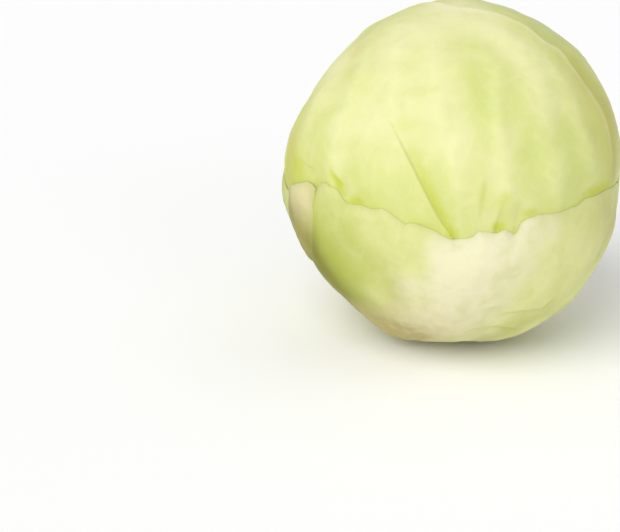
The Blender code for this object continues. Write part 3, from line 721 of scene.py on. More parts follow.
# Painted shade: saturated places in the head's folds, and the saturated band of shade on the sunk side
# of the crease, with its width and fade at the crease's upper and lower ends
FOLD_SHADE_PATCHES = (
    (14.6, -1, 1.2, 0.6), (15.6, -1.3, 1.3, 0.8), (16.5, 6.2, 1.8, 0.35), (17, 2, 1.6, 0.4),
    (18.6, -1.6, 2, 0.25), (21.2, -3, 1.1, 0.4), (20.8, 4, 1.6, 0.15), (25, 2.4, 1.3, 0.7),
    (27.2, 3, 1.1, 0.5), (17, 9, 1.4, 0.3), (10.4, 12.5, 1.1, 0.3), (10, 10.4, 0.9, 0.25),
    (9.9, 8.5, 1, 0.4), (9.9, 6.5, 0.9, 0.25), (9.9, 4.6, 0.9, 0.15), (0.2, -1.5, 1.3, 0.7),
    (0.8, -3.8, 1.3, 0.9), (-1, 1.5, 1.5, 0.5), (-42.1, 11.5, 0.8, 0.6), (-40.6, 10.2, 0.9, 0.7),
    (-39, 9, 1.1, 0.7), (-37.2, 8.8, 1.1, 0.6), (-38.7, 6.9, 1.1, 0.7), (-36.9, 5.5, 1, 0.6),
    (-33.5, 3.6, 1, 0.7), (-31.4, 4.2, 1.3, 0.9), (-29, 3.8, 1, 0.9), (-57, 11.5, 2, 0.3),
    (-51, 10.7, 1.8, 0.3), (-47, 6.7, 1.2, 0.5), (-49.5, 5.2, 1.2, 0.7), (-44, 8.2, 0.9, 0.5),
    (47.9, 4.2, 1.5, 0.5), (51.7, 4.5, 1.7, 0.9), (55.3, 4.1, 1.7, 1), (58.6, 3.9, 1.7, 1),
    (62.5, 3.6, 2, 0.8), (-75, 8, 4, 0.6), (-69, 12, 5, 0.7), (-62, 10, 3, 0.4), (-66, 3.5, 4.5, 0.7),
    (-58, 5.5, 3.5, 0.5), (-76, 0, 4, 0.8), (-84, -4, 4, 1), (-17.5, 30, 2, 0.35), (-8, 16, 1.2, 0.2),
)
CREASE_BAND_START = 0.12
CREASE_BAND_RISE = 0.55
CREASE_BAND_SHARE = 0.82
CREASE_BAND_WIDTH = (3.0, 0.6)
CREASE_BAND_FADE = (6.0, 4.6)

# Colour patches as the photograph shows them: longitude, latitude, spread, strength
HEAD_GREEN_PATCHES = (
    (9, 39, 6, 0.8), (8.6, 52, 5, 0.25), (14, 28, 4.5, 0.35), (4, 33, 4, 0.2), (24.5, 27, 4, 0.4),
    (18, 20, 3.5, 0.2), (27.7, 19, 4, 0.4), (24.4, 43, 4, 0.3), (36, 20, 5, 0.3), (46, 23, 5, 0.35),
    (51, 13, 5, 0.5), (37.7, 12, 5, 0.25), (42, 40.5, 4, 0.5), (45, 57, 5, 0.5), (45.4, 30, 4.5, 0.5),
    (2, 20, 5, 0.25), (-2, -2, 4, 0.3), (-66, 17, 6, 0.5), (-65, 25, 4, 0.3), (-50, 12, 6, 0.3),
    (-46, 28, 5, 0.35), (-38, 18, 6, 0.2), (-72, 6, 6, 0.5), (82, 12, 10, 0.5), (110, 20, 16, 0.6),
    (150, 34, 14, 0.5), (190, 14, 16, 0.6), (230, 26, 14, 0.6), (262, 12, 12, 0.6), (128, 52, 12, 0.4),
    (205, 56, 12, 0.4),
)
# Cream patches; the broad one on the upper left front is partly a painted highlight
HEAD_CREAM_PATCHES = (
    (-21, 35, 10, 0.8), (-36, 24, 7, 0.35), (-4, 79, 8, 0.9), (-45, 66, 9, 0.5), (30, 66, 5, 0.7),
    (37, 57, 4.5, 0.7), (26.3, 5, 3, 0.4), (12, 0.5, 2, 0.4), (39, 48, 4.5, 0.6), (36, 36, 4.5, 0.4),
    (2, 25, 6, 0.5), (-60, 34, 6, 0.5), (-68, 46, 5, 0.8), (-80, 40, 8, 0.4), (170, 60, 14, 0.5),
    (0, 86, 7, 0.5), (0, 36, 6, 0.3), (14, 14, 5, 0.4), (10, 3, 3, 0.3), (-10, 58, 8, 0.4),
    (-40, 55, 7, 0.4), (-130, 40, 14, 0.5),
)
# Brownish tint, partly painted shade near the head's left and right sides
HEAD_TAN_AND_SHADE_PATCHES = (
    (-72, 56, 4, 0.25), (-62, 51, 3, 0.35), (-54, 44, 2.6, 0.3), (-90, 60, 5, 0.3), (-66, 36, 3.5, 0.25),
    (-73, 28, 3.5, 0.3), (-80, 16, 5, 0.4), (-70, 11, 4.5, 0.5), (-64, 18, 4, 0.25), (-55, 12, 3, 0.2),
    (-47, 9, 3, 0.2), (76, 20, 8, 0.3), (62, 34, 6, 0.2),
)
# Painted shade: dark patches at the head's left and right sides and in the pockets along the torn edge
HEAD_DARK_SHADE_PATCHES = (
    (-73, 9, 5, 0.4), (-70, 19, 4, 0.2), (-80, 24, 5, 0.3), (-71, 1, 4, 0.35), (-64, 3, 4, 0.2),
    (-78, -3, 3, 1), (60, 36, 5, 0.35), (58, 24, 4.5, 0.4), (66, 14, 6, 0.55), (74, 26, 6, 0.5),
    (68, 7, 4, 0.6), (70, 44, 6, 0.3), (52.3, 3.7, 1.3, 0.35), (55.6, 3.6, 1.3, 0.35),
    (59, 3.4, 1.3, 0.35), (62.5, 3.2, 1.5, 0.4), (-31, 4, 1.2, 0.2), (-49, 5.2, 1.2, 0.3),
)
# Painted shade: dark patches on the outer leaves, mostly down the front leaf's lower left side
LEAF_DARK_SHADE_PATCHES = (
    (-53, -13, 4.5, 0.4), (-46, -22, 5, 0.12), (-45, -30, 5, 0.15), (-51, -19, 5, 0.35),
    (-52, -26, 5.5, 0.45), (-51, -33, 5.5, 0.55), (-47, -39, 5.5, 0.45), (-52, -47, 5, 0.3),
    (-60, -22, 6, 0.5), (-62, -31, 7, 0.6), (-60, -42, 7, 0.6), (-37, -31, 5, 0.12), (-90, -8, 12, 0.34),
    (-48.6, -5.5, 1.5, 0.08), (-48.9, -9.5, 1.6, 0.12), (-49.3, -13.5, 1.7, 0.14),
    (-50.3, -17.5, 1.8, 0.12), (62, -2, 4, 0.2), (70, -10, 5, 0.18),
)
# Painted shade: dark patches on the left remnant, mostly low down and at its left
REMNANT_DARK_SHADE_PATCHES = (
    (-55, -16, 5, 0.6), (-57, -24, 6, 0.9), (-71, -12, 6, 0.6), (-60, -38, 10, 0.9), (-70, -22, 4, 0.2),
    (-80, -26, 9, 0.8), (-80, -14, 6, 0.8), (-80, -6, 5, 0.6), (-65, -10, 5, 0.5), (-72, -5, 4, 0.35),
    (-61, -17, 4, 0.25),
)
# Greener patches; those down the front leaf's lower left are painted shade
LEAF_GREEN_PATCHES = (
    (-44, -4, 7, 0.6), (-40, -14, 8, 0.8), (-34, -26, 8, 0.7), (-24, -4, 6, 0.3), (-27, -16, 6, 0.4),
    (-48, -28, 9, 0.8), (70, -20, 12, 0.2), (30, -42, 6, 0.4), (44, -44, 8, 0.3), (24, -50, 7, 0.25),
    (-40, -11, 3, 0.3), (-34, -17, 2.5, 0.3), (-38, -31, 3, 0.3), (-15, -16, 6, 0.35), (30, -1, 6, 0.4),
    (-18, -19.5, 5, 0.3), (90, -14, 16, 0.6), (120, -20, 12, 0.6), (164, -16, 16, 0.6),
    (200, -18, 14, 0.6), (262, -20, 18, 0.7), (216, -30, 10, 0.4), (6, -62, 6, 0.2),
)
# Painted shade: saturated patches down the front leaf's lower left, beside the seam with the remnant and on
# the back left leaf's edge
LEAF_SATURATED_SHADE_PATCHES = (
    (-50, -26, 6, 0.7), (-55, -30, 6, 0.7), (-54, -40, 6, 0.7), (-44, -40, 5, 0.5), (-50, -14, 3.5, 0.4),
    (-44, -20, 5, 0.4), (-37, -33, 6, 0.6), (-32, -21, 5, 0.6), (-41, -14, 4, 0.3),
    (12, -47.5, 3.2, 0.25), (-46, -37, 5, 0.3), (-50, -5, 4, 0.5), (-43, -4, 5, 0.3), (-36, -10, 6, 0.25),
    (-88, -4, 9, 0.4), (-90, -15, 11, 0.3), (-42, -34, 4, 0.3), (-48.6, -7, 1.6, 0.3),
    (-49, -11.5, 1.7, 0.35), (-49.8, -16, 1.8, 0.35), (-51.2, -20.5, 1.8, 0.25),
)
# Paler patches; the two large ones on the front leaf's right are partly painted light
LEAF_PALE_PATCHES = (
    (36, -11, 8, 0.8), (50, -22, 8, 0.8), (30, -20, 7, 0.4), (62, -14, 6, 0.3), (-26, -4, 5, 0.4),
)
CREAM_BAND = (
    (15.5, -1), (13.8, -4.6), (11.9, -8.5), (9.4, -13.4), (6.5, -18.7), (4, -25.4), (1.9, -32.2),
    (-1, -45.4), (-6, -68),
)
CREAM_FULL_LEFT = 11.0
CREAM_FADE_LEFT = 20.0
CREAM_FULL_RIGHT = 8.0
CREAM_FADE_RIGHT = 30.0
CREAM_WOBBLE = 2.5
CREAM_WOBBLE_LENGTH = 20.0
CREAM_WOBBLE_SEED = 31
CREAM_LOW_LAT = -45.0
CREAM_LOW_FADE = 8.0
CREAM_LOW_LOSS = 0.5
OTHER_CREAM_HALF_WIDTH = 10.0
OTHER_CREAM_STRENGTH = 0.8
OTHER_CREAM_TIP_LOSS = 0.4
# Brownish tint towards the stem, partly painted shade: darker low down and on the front leaf's lower left
LEAF_TAN_AND_SHADE_PATCHES = (
    (-32, -54, 7, 0.9), (-24, -51, 5, 0.6), (-38, -44, 6, 0.5), (-19, -53, 4, 0.5), (-9, -47, 5, 0.3),
    (-46, -46, 5, 0.5), (-20, -41, 6, 0.3), (-1, -40, 8, 0.22), (0, -66, 12, 0.12), (24, -62, 10, 0.15),
    (-17.2, -23.2, 2.3, 0.22), (-18, -28, 2.6, 0.15), (-18.5, -32, 2.6, 0.15), (-24, -35, 3, 0.1),
    (-30.5, -35, 3, 0.13), (58, -2, 4, 0.3), (68, -11, 5, 0.3), (150, -60, 8, 0.5), (246, -58, 8, 0.5),
)
# Brownish tint on the left remnant, partly painted shade low down
REMNANT_TAN_AND_SHADE_PATCHES = (
    (-60, -9, 5, 0.4), (-56, -18, 7, 0.4), (-62, -24, 8, 0.3), (-70, -14, 6, 0.3), (-72, -36, 14, 0.3),
)
REMNANT_CREAM_PATCHES = ((-57, 1, 6, 1), (-64, -4, 6, 0.8), (-68, -9, 4, 0.5))

# How creases are painted: softness of the step, reach of the painted shade in sink widths, and half
# width of the painted highlight along the raised side
FOLD_PAINT = (0.5, 1.2, 2.5)
MARGIN_PAINT = (1.0, 3.0, 2.6)
LEAF_CREASE_PAINT = (0.5, 1.0, 2.0)
# How much ribs, painted highlight ridges, patches, veins, and the painted shade of sunk sides and of the
# side beyond a margin add to each paint
RIB_PALE = 0.4
PATCH_PALE = 0.35
HIGHLIGHT_RIDGE_PALE = 0.4
PATCH_CREAM = 0.6
HIGHLIGHT_RIDGE_CREAM = 0.35
MARGIN_HIGHLIGHT_CREAM = 0.9
HEAD_VEIN_SHARE = 0.4
BEYOND_SHADE_GREEN = 1.2
BEYOND_DARK_SHADE = 1.2
BEYOND_DARK_SHADE_LOSS = 1.1
BEYOND_DARK_SHADE_LAT = 40.0
BEYOND_DARK_SHADE_FADE = 35.0
LEAF_VEIN_PALE = 0.8
LEAF_HIGHLIGHT_RIDGE_PALE = 0.5
LEAF_VEIN_SHARE = 0.5
SUNK_SHADE_GREEN = 0.7
SUNK_SHADE_SATURATED = 0.35
# Painted shade along the torn edges and beside the seam with the remnant, the pale torn rim, and the painted
# shadow line in the crease
EDGE_SHADE = 0.35
LEAF_EDGE_SHADE_REACH = 1.4
TORN_SHARE = 0.15
TORN_REACH = 0.5
SEAM_SHADE_REACH = 1.8
SEAM_SHADE = 0.8
CREASE_SHADOW_HALF_WIDTH = 0.45
CREASE_SHADOW_SHARE = 0.18
VEIN_PALE_HALF_WIDTH = 4.0
RIB_PALE_WIDENING = 1.25


def crowd_rows(lat):
    """Latitudes drawn towards the creases and out of the part that the leaves hide."""
    lats = np.linspace(-90.0, 90.0, ROW_STEPS)
    shown = smoothstep((lats - ROW_HIDDEN_LAT) / ROW_HIDDEN_FADE)
    weight = ROW_HIDDEN_WEIGHT + (1.0 - ROW_HIDDEN_WEIGHT) * shown
    weight += ROW_CREASE_WEIGHT * bell(lats - ROW_CREASE_LAT, ROW_CREASE_SPREAD)
    passed = np.cumsum(weight)
    passed = (passed - passed[0]) / (passed[-1] - passed[0])
    return np.interp((lat + 90.0) / 180.0, passed, lats)


def head_saturated_shade(direction, lon, above):
    """Share of painted shade, a saturated green, on the head: along the torn edge, in its folds and by the
    crease.
    """
    lons, strengths = np.array(EDGE_SHADES, float).T
    edge = np.interp(turn_into(lon, lons[0], lons[-1]), lons, strengths)
    edge *= np.exp(-above / EDGE_SHADE_REACH)
    distance, share, side = along_line(direction, smooth_line(CREASE))
    band = smoothstep((share - CREASE_BAND_START) / CREASE_BAND_RISE) * (side < 0.0)
    width = CREASE_BAND_WIDTH[0] + share * (CREASE_BAND_WIDTH[1] - CREASE_BAND_WIDTH[0])
    fade = CREASE_BAND_FADE[0] + share * (CREASE_BAND_FADE[1] - CREASE_BAND_FADE[0])
    band = CREASE_BAND_SHARE * band * (1.0 - smoothstep((distance - width) / fade))
    return np.maximum(np.maximum(edge, band), forms(direction, FOLD_SHADE_PATCHES))


def crease_shadow(direction):
    """Share of the painted shadow line, thin and dark, where the sunk side meets the crease's raised lip."""
    distance, share, _ = along_line(direction, smooth_line(CREASE))
    ends = smoothstep(share / CREASE_BAND_START)
    return CREASE_SHADOW_SHARE * ends * bell(distance, CREASE_SHADOW_HALF_WIDTH)


def make_head():
    """The dense head: a fine sphere moved to the head's radius, with creases, ribs and veins."""
    bm = bmesh.new()
    bmesh.ops.create_uvsphere(bm, u_segments=HEAD_COLUMNS, v_segments=HEAD_ROWS, radius=1.0)
    mesh = bpy.data.meshes.new("cabbage_head")
    bm.to_mesh(mesh)
    bm.free()
    points = np.empty(len(mesh.vertices) * 3, np.float32)
    mesh.vertices.foreach_get("co", points)
    points = points.reshape(-1, 3).astype(float)
    lat = crowd_rows(np.degrees(np.arcsin(np.clip(points[:, 2], -1.0, 1.0))))
    lon = crowd_columns(np.degrees(np.arctan2(points[:, 0], -points[:, 1])), lat)
    direction = unit(lon, lat)
    bare = ramp(lat, RELIEF_END_LAT, RELIEF_FULL_LAT)
    all_ribs = HEAD_RIBS + back_ribs()
    vein = small_veins(direction, [rib[0] for rib in all_ribs], HEAD_VEIN_SEED)
    radius = head_core_radius(lon, lat) + head_relief(lon, lat, LIP_SOFTNESS) + undulation(direction, lat)
    above = np.maximum(lat - nearest_top_lat(lon), 0.0) * MM_PER_DEGREE
    fine = lips(direction, FINE_LIPS, LIP_SOFTNESS) + HEAD_SMALL_VEIN_HEIGHT * vein
    fine += GRAIN_HEIGHT * waves(direction, GRAIN_LENGTH, HEAD_GRAIN_SEED)
    radius += fine * bare * smoothstep(above / HEAD_DETAIL_FADE)
    mesh.vertices.foreach_set("co", (place(lon, lat, radius) * MM).astype(np.float32).ravel())
    mesh.update()
    obj = add_piece(mesh, "cabbage_head", leaf_material("head_leaf", HEAD_PALETTE), "head")

    # Painted highlight on the raised sides of the folds and margins, and painted shade beyond the margins
    _, ridge = lip_shares(direction, FOLD_LIPS + FINE_LIPS, *FOLD_PAINT)
    beyond, margin_highlight = lip_shares(direction, MARGIN_LIPS, *MARGIN_PAINT)
    # Painted shade: dark patches, and dark shade beyond the leaf margins that weakens towards the top
    upper = smoothstep((lat - BEYOND_DARK_SHADE_LAT) / BEYOND_DARK_SHADE_FADE)
    olive = forms(direction, HEAD_DARK_SHADE_PATCHES) + beyond * (BEYOND_DARK_SHADE - BEYOND_DARK_SHADE_LOSS * upper)
    pale = ribs(direction, tuple((p, w * RIB_PALE_WIDENING, 1.0) for p, w, _ in all_ribs))
    cream = forms(direction, HEAD_CREAM_PATCHES)
    # Painted shade: the saturated green layer, the dark layer, the crease line in the brownish layer and the
    # margins' far side in the green layer; painted highlight: the ridges in the pale and cream layers
    paint(obj, {
        "pale": RIB_PALE * pale + PATCH_PALE * cream + HIGHLIGHT_RIDGE_PALE * ridge,
        "vein": HEAD_VEIN_SHARE * vein,
        "green": forms(direction, HEAD_GREEN_PATCHES) + BEYOND_SHADE_GREEN * beyond,
        "cream": PATCH_CREAM * cream + HIGHLIGHT_RIDGE_CREAM * ridge + MARGIN_HIGHLIGHT_CREAM * margin_highlight,
        "deep": head_saturated_shade(direction, lon, above),
        "torn": np.zeros(len(lat)),
        "olive": olive,
        "tan": np.maximum(forms(direction, HEAD_TAN_AND_SHADE_PATCHES), crease_shadow(direction)),
    })


def uneven_shares(count, first):
    """Shares from 0 to 1 in steps that shrink towards the last end, and towards the first if asked."""
    index = np.arange(count) + 0.5
    size = 1.0 - LAST_STEP_SHRINK * np.exp(-(count - index) / LAST_STEP_REACH)
    if first:
        size -= FIRST_STEP_SHRINK * np.exp(-index / FIRST_STEP_REACH)
    return np.concatenate(([0.0], np.cumsum(size) / size.sum()))


def sheet_mesh(name, outer, inner):
    """Closed mesh from two matching grids of points, outer face and inner face."""
    rows, columns = outer.shape[:2]
    inner_start = rows * columns
    index = np.arange(inner_start).reshape(rows, columns)
    a, b, c, d = index[:-1, :-1], index[:-1, 1:], index[1:, 1:], index[1:, :-1]
    front = np.stack((a, b, c, d), axis=-1).reshape(-1, 4)
    back = front[:, ::-1] + inner_start
    rim = np.concatenate((index[0, :], index[1:, -1], index[-1, -2::-1], index[-2:0:-1, 0]))
    next_rim = np.roll(rim, -1)
    walls = np.stack((next_rim, rim, rim + inner_start, next_rim + inner_start), axis=-1)
    mesh = bpy.data.meshes.new(name)
    points = np.concatenate((outer.reshape(-1, 3), inner.reshape(-1, 3))) * MM
    mesh.from_pydata(points.tolist(), [], np.concatenate((front, back, walls)).tolist())
    mesh.update()
    return mesh


def grid_normals(points):
    """Outward unit normals of a grid of points."""
    normals = np.cross(np.gradient(points, axis=1), np.gradient(points, axis=0))
    return normals / np.linalg.norm(normals, axis=2)[:, :, None]


def leaf_cream(leaf, direction):
    """Share of the pale, fleshy midrib zone of a leaf."""
    if leaf is FRONT_LEAF:
        distance, _, side = along_line(direction, smooth_line(CREAM_BAND))
        distance = distance + CREAM_WOBBLE * waves(direction, CREAM_WOBBLE_LENGTH, CREAM_WOBBLE_SEED)
        full = np.where(side > 0.0, CREAM_FULL_LEFT, CREAM_FULL_RIGHT)
        fade = np.where(side > 0.0, CREAM_FADE_LEFT, CREAM_FADE_RIGHT)
        low = smoothstep((CREAM_LOW_LAT - np.degrees(np.arcsin(direction[:, 2]))) / CREAM_LOW_FADE)
        return (1.0 - smoothstep((distance - full) / fade)) * (1.0 - CREAM_LOW_LOSS * low)
    if leaf is LEFT_LEAF:
        return forms(direction, REMNANT_CREAM_PATCHES)
    distance, share, _ = along_line(direction, smooth_line(leaf["midrib"]))
    cream = OTHER_CREAM_STRENGTH * bell(distance, OTHER_CREAM_HALF_WIDTH)
    return cream * (1.0 - OTHER_CREAM_TIP_LOSS * share)


def make_leaf(leaf, under, palette):
    """An outer leaf: two grids over the head, closed round a rounded, torn rim."""
    across, up = np.meshgrid(uneven_shares(leaf["columns"], True), uneven_shares(leaf["rows"], False))
    shape = across.shape
    across, up = across.ravel(), up.ravel()
    lon, lat = leaf_grid(leaf, across, up)
    tear = torn_top(leaf, lon) - top_lat(leaf, lon)
    lat = lat + tear * up ** TEAR_REACH_POWER
    along_side = unit(np.full(len(lat), leaf["rows"]), lat)
    wobble = SIDE_WOBBLE * waves(along_side, SIDE_WOBBLE_LENGTH, SIDE_WOBBLE_SEED)
    lon = lon + wobble * np.abs(2.0 * across - 1.0) ** SIDE_WOBBLE_POWER
    direction = unit(lon, lat)
    to_top = from_torn_edge(leaf, direction)
    width = (side_lon(leaf, "right", lat) - side_lon(leaf, "left", lat)) * MM_PER_DEGREE
    to_side = np.minimum(across, 1.0 - across) * width * np.cos(np.radians(lat))
    edge = np.minimum(to_top, to_side)

    lift = np.zeros(len(lon))
    for lower, lower_edge in under:
        lift = np.maximum(lift, lift_over(lower, lower_edge, lon, lat))
    gap = EDGE_GAP + (LEAF_GAP - EDGE_GAP) * smoothstep(edge / EDGE_GAP_REACH)
    curl = waves(unit(lon, np.zeros(len(lon))), EDGE_CURL_LENGTH, leaf["rows"]) - EDGE_CURL_START
    curl = EDGE_CURL * smoothstep(curl) * np.exp(-to_top / EDGE_CURL_REACH)
    radius = head_core_radius(lon, lat) + gap + lift + curl + undulation(direction, lat)
    relief = head_relief(lon, lat, UNDERLAY_SOFTNESS)
    radius += np.maximum(relief, 0.0) + np.minimum(relief, 0.0) * np.exp(-edge / EDGE_HUG_REACH)
    inner = place(lon, lat, radius).reshape(*shape, 3)
    normals = grid_normals(inner)
    tilt = np.abs(np.sum(normals.reshape(-1, 3) * direction, axis=1))

    vein = small_veins(direction, (leaf["midrib"],) + leaf["veins"], LEAF_VEIN_SEED + leaf["rows"])
    fine = LEAF_SMALL_VEIN_HEIGHT * vein
    fine += GRAIN_HEIGHT * waves(direction, GRAIN_LENGTH, LEAF_GRAIN_SEED)
    fine += lips(direction, LEAF_CREASES, LEAF_CREASE_SOFTNESS)
    fine += lips(direction, SOFT_CREASES, SOFT_CREASE_SOFTNESS)
    thickness = leaf_thickness(leaf, lon, lat)
    thickness -= (thickness - EDGE_THICKNESS) * np.exp(-edge / EDGE_THINNING_REACH)
    thickness = thickness * tilt + fine * smoothstep(edge / EDGE_GAP_REACH)
    draw_in = 1.0 - np.clip(edge / RIM_ROUNDING, 0.0, 1.0)
    draw_in = RIM_DRAW_IN * (1.0 - np.sqrt(1.0 - draw_in ** 2))
    outer = inner + normals * (thickness * (1.0 - draw_in)).reshape(*shape, 1)
    inner = inner + normals * (thickness * draw_in).reshape(*shape, 1)
    mesh = sheet_mesh("cabbage_" + leaf["name"], outer, inner)
    material = leaf_material(leaf["name"], palette)
    obj = add_piece(mesh, "cabbage_" + leaf["name"], material, leaf["name"])

    # Painted shade on the creases' sunk sides and painted highlight on their raised ridges
    sunk, ridge = lip_shares(direction, LEAF_CREASES + PAINTED_SOFT_CREASES, *LEAF_CREASE_PAINT)
    pale = ribs(direction, tuple((line, VEIN_PALE_HALF_WIDTH, 1.0) for line in leaf["veins"]))
    # Painted shade: saturated green along the torn edge, beside the seam with the remnant and in the listed
    # patches
    deep = EDGE_SHADE * np.exp(-to_top / LEAF_EDGE_SHADE_REACH)
    if leaf in (FRONT_LEAF, BACK_LEFT_LEAF):
        if leaf is FRONT_LEAF:
            from_seam = lon - side_lon(LEFT_LEAF, "right", lat)
        else:
            from_seam = side_lon(LEFT_LEAF, "left", lat) + 360.0 - lon
        from_seam = np.maximum(from_seam, 0.0) * MM_PER_DEGREE * np.cos(np.radians(lat))
        seam = SEAM_SHADE * np.exp(-from_seam / SEAM_SHADE_REACH)
        deep = np.maximum(np.maximum(deep, seam), forms(direction, LEAF_SATURATED_SHADE_PATCHES))
    # Painted shade: the saturated green layer, the dark layer, the creases' sunk sides in the green layer
    # and part of the brownish layer; painted highlight: the ridges in the pale layer
    layers = {
        "pale": LEAF_VEIN_PALE * pale + LEAF_HIGHLIGHT_RIDGE_PALE * ridge + forms(direction, LEAF_PALE_PATCHES),
        "vein": LEAF_VEIN_SHARE * vein,
        "green": forms(direction, LEAF_GREEN_PATCHES) + SUNK_SHADE_GREEN * sunk,
        "cream": leaf_cream(leaf, direction),
        "deep": deep + SUNK_SHADE_SATURATED * sunk,
        "torn": TORN_SHARE * np.exp(-edge / TORN_REACH),
        "olive": forms(direction, REMNANT_DARK_SHADE_PATCHES if leaf is LEFT_LEAF else LEAF_DARK_SHADE_PATCHES),
        "tan": forms(direction, REMNANT_TAN_AND_SHADE_PATCHES if leaf is LEFT_LEAF else LEAF_TAN_AND_SHADE_PATCHES),
    }
    paint(obj, {name: np.concatenate((values, values)) for name, values in layers.items()})


STEM_SIDES = 96
STEM_BARK_LOBES = 13
STEM_BARK_DEPTH = 0.004
# Radius and height of the stump's rings, from the middle of the cut face round to its top
STEM_RINGS = (
    (0, 0.05), (4, 0.04), (8, 0.02), (11.5, 0), (13.6, 0), (14.6, 0), (15.3, 0.25), (15.75, 0.8),
    (15.95, 1.8), (16.1, 3.2), (16.4, 5), (16.8, 7), (17.1, 8.3), (16.6, 8.75), (12, 8.8), (0, 8.8),
)


def make_stem():
    """The cut stump: a turned profile with an uneven side and a sawn face."""
    bm = bmesh.new()
    previous = None
    for number, (ring_radius, height) in enumerate(STEM_RINGS):
        ring = []
        for step in range(STEM_SIDES if ring_radius else 1):
            around = 2.0 * math.pi * step / STEM_SIDES
            uneven = 1.0 + STEM_UNEVEN_OVAL * math.sin(2 * around) + STEM_UNEVEN_LOBES * math.sin(5 * around)
            uneven += STEM_BARK_DEPTH * math.sin(STEM_BARK_LOBES * around + number) * min(1.0, height)
            radius = ring_radius * uneven * MM
            ring.append(bm.verts.new((radius * math.cos(around), radius * math.sin(around), height * MM)))
        if previous is not None:
            for step in range(STEM_SIDES):
                after = (step + 1) % STEM_SIDES
                if len(previous) == 1:
                    bm.faces.new((previous[0], ring[after], ring[step]))
                elif len(ring) == 1:
                    bm.faces.new((previous[step], previous[after], ring[0]))
                else:
                    bm.faces.new((previous[step], previous[after], ring[after], ring[step]))
        previous = ring
    mesh = bpy.data.meshes.new("cabbage_stem")
    bm.to_mesh(mesh)
    bm.free()
    add_piece(mesh, "cabbage_stem", stem_material(), "stem")


# Materials, with linear colours
# In each palette the saturated green and the dark colour are painted shade, and the brownish colour is
# partly painted shade
HEAD_PALETTE = {
    "green": (0.60, 0.635, 0.235), "greener": (0.52, 0.58, 0.165), "pale": (0.72, 0.73, 0.37),
    "vein": (0.74, 0.745, 0.42), "cream": (0.78, 0.745, 0.47), "deep": (0.50, 0.55, 0.055),
    "torn": (0.80, 0.77, 0.56), "tan": (0.60, 0.52, 0.20), "olive": (0.47, 0.465, 0.11),
}
LEAF_PALETTE = {
    "green": (0.645, 0.66, 0.28), "greener": (0.455, 0.49, 0.135), "pale": (0.70, 0.70, 0.32),
    "vein": (0.73, 0.725, 0.42), "cream": (0.77, 0.725, 0.50), "deep": (0.43, 0.49, 0.085),
    "torn": (0.80, 0.76, 0.58), "tan": (0.47, 0.395, 0.17), "olive": (0.22, 0.215, 0.03),
}
# The left remnant's colours run darker and browner than the other leaves', partly its own tone and partly
# painted shade
REMNANT_PALETTE = {
    "green": (0.53, 0.51, 0.165), "greener": (0.44, 0.43, 0.115), "pale": (0.65, 0.59, 0.31),
    "vein": (0.67, 0.62, 0.35), "cream": (0.68, 0.61, 0.34), "deep": (0.40, 0.46, 0.09),
    "torn": (0.78, 0.72, 0.52), "tan": (0.34, 0.315, 0.08), "olive": (0.21, 0.19, 0.04),
}
STEM_PITH = (0.78, 0.74, 0.50)
STEM_DARKER_PITH = (0.70, 0.64, 0.38)
STEM_RING = (0.52, 0.46, 0.20)
STEM_SKIN = (0.60, 0.60, 0.28)
STEM_FIBRE = (0.56, 0.48, 0.26)
NETWORK_BEND_SCALE = 0.6
NETWORK_LINE_WIDTH = 0.1


class Graph:
    """Short ways to add and join the nodes of one material."""

    def __init__(self, name):
        self.material = bpy.data.materials.new(name)
        self.material.use_nodes = True
        self.tree = self.material.node_tree
        self.coordinates = self.add("TexCoord", "Object", {})

    def link(self, source, socket):
        """Join a socket to another, or set it to a number, a vector or a colour."""
        if isinstance(source, (int, float)):
            socket.default_value = source
        elif isinstance(source, tuple):
            socket.default_value = (*source, 1.0)[:len(socket.default_value)]
        else:
            self.tree.links.new(source, socket)

    def add(self, kind, output, inputs, **settings):
        """Add a node with these settings and inputs, and give one of its outputs."""
        node = self.tree.nodes.new("ShaderNode" + kind)
        for name, value in settings.items():
            setattr(node, name, value)
        for name, value in inputs.items():
            self.link(value, node.inputs[name])
        return node.outputs[output]

    def surface(self, inputs):
        """Set or join inputs of the material's shader."""
        for name, value in inputs.items():
            self.link(value, self.tree.nodes["Principled BSDF"].inputs[name])

    def attribute(self, name):
        return self.add("Attribute", "Fac", {}, attribute_name=name)

    def math(self, operation, *values):
        return self.add("Math", 0, dict(enumerate(values)), operation=operation)

    def painted(self, name, share):
        """A painted layer, with this share of it showing."""
        return self.math("MULTIPLY", self.attribute(name), share)

    def stretched(self, scale):
        return self.add("Mapping", "Vector", {"Vector": self.coordinates, "Scale": scale})

    def noise(self, scale, detail, distortion=0.0, stretch=(1.0, 1.0, 1.0)):
        return self.add("TexNoise", "Fac", {"Vector": self.stretched(stretch), "Scale": scale,
                                            "Detail": detail, "Distortion": distortion})

    def network(self, scale, stretch, bend):
        """Thin branching lines between cells, 1 on a line."""
        noise = self.add("TexNoise", "Color", {"Vector": self.coordinates,
                                               "Scale": scale * NETWORK_BEND_SCALE})
        bent = self.add("VectorMath", "Vector", {0: noise, 1: (bend, bend, bend),
                                                 2: self.stretched(stretch)}, operation="MULTIPLY_ADD")
        cells = self.add("TexVoronoi", "Distance", {"Vector": bent, "Scale": scale},
                         feature="DISTANCE_TO_EDGE")
        return self.range(cells, NETWORK_LINE_WIDTH, 0.0)

    def range(self, value, low, high, to_low=0.0, to_high=1.0):
        """Turn values from low to high smoothly into values from to_low to to_high."""
        inputs = {"Value": value, "From Min": low, "From Max": high, "To Min": to_low, "To Max": to_high}
        return self.add("MapRange", "Result", inputs, interpolation_type="SMOOTHSTEP")

    def mix(self, share, first, second):
        return self.add("Mix", 2, {0: share, 6: first, 7: second}, data_type="RGBA")

    def bump(self, height, strength, distance):
        return self.add("Bump", "Normal", {"Height": height, "Strength": strength, "Distance": distance})


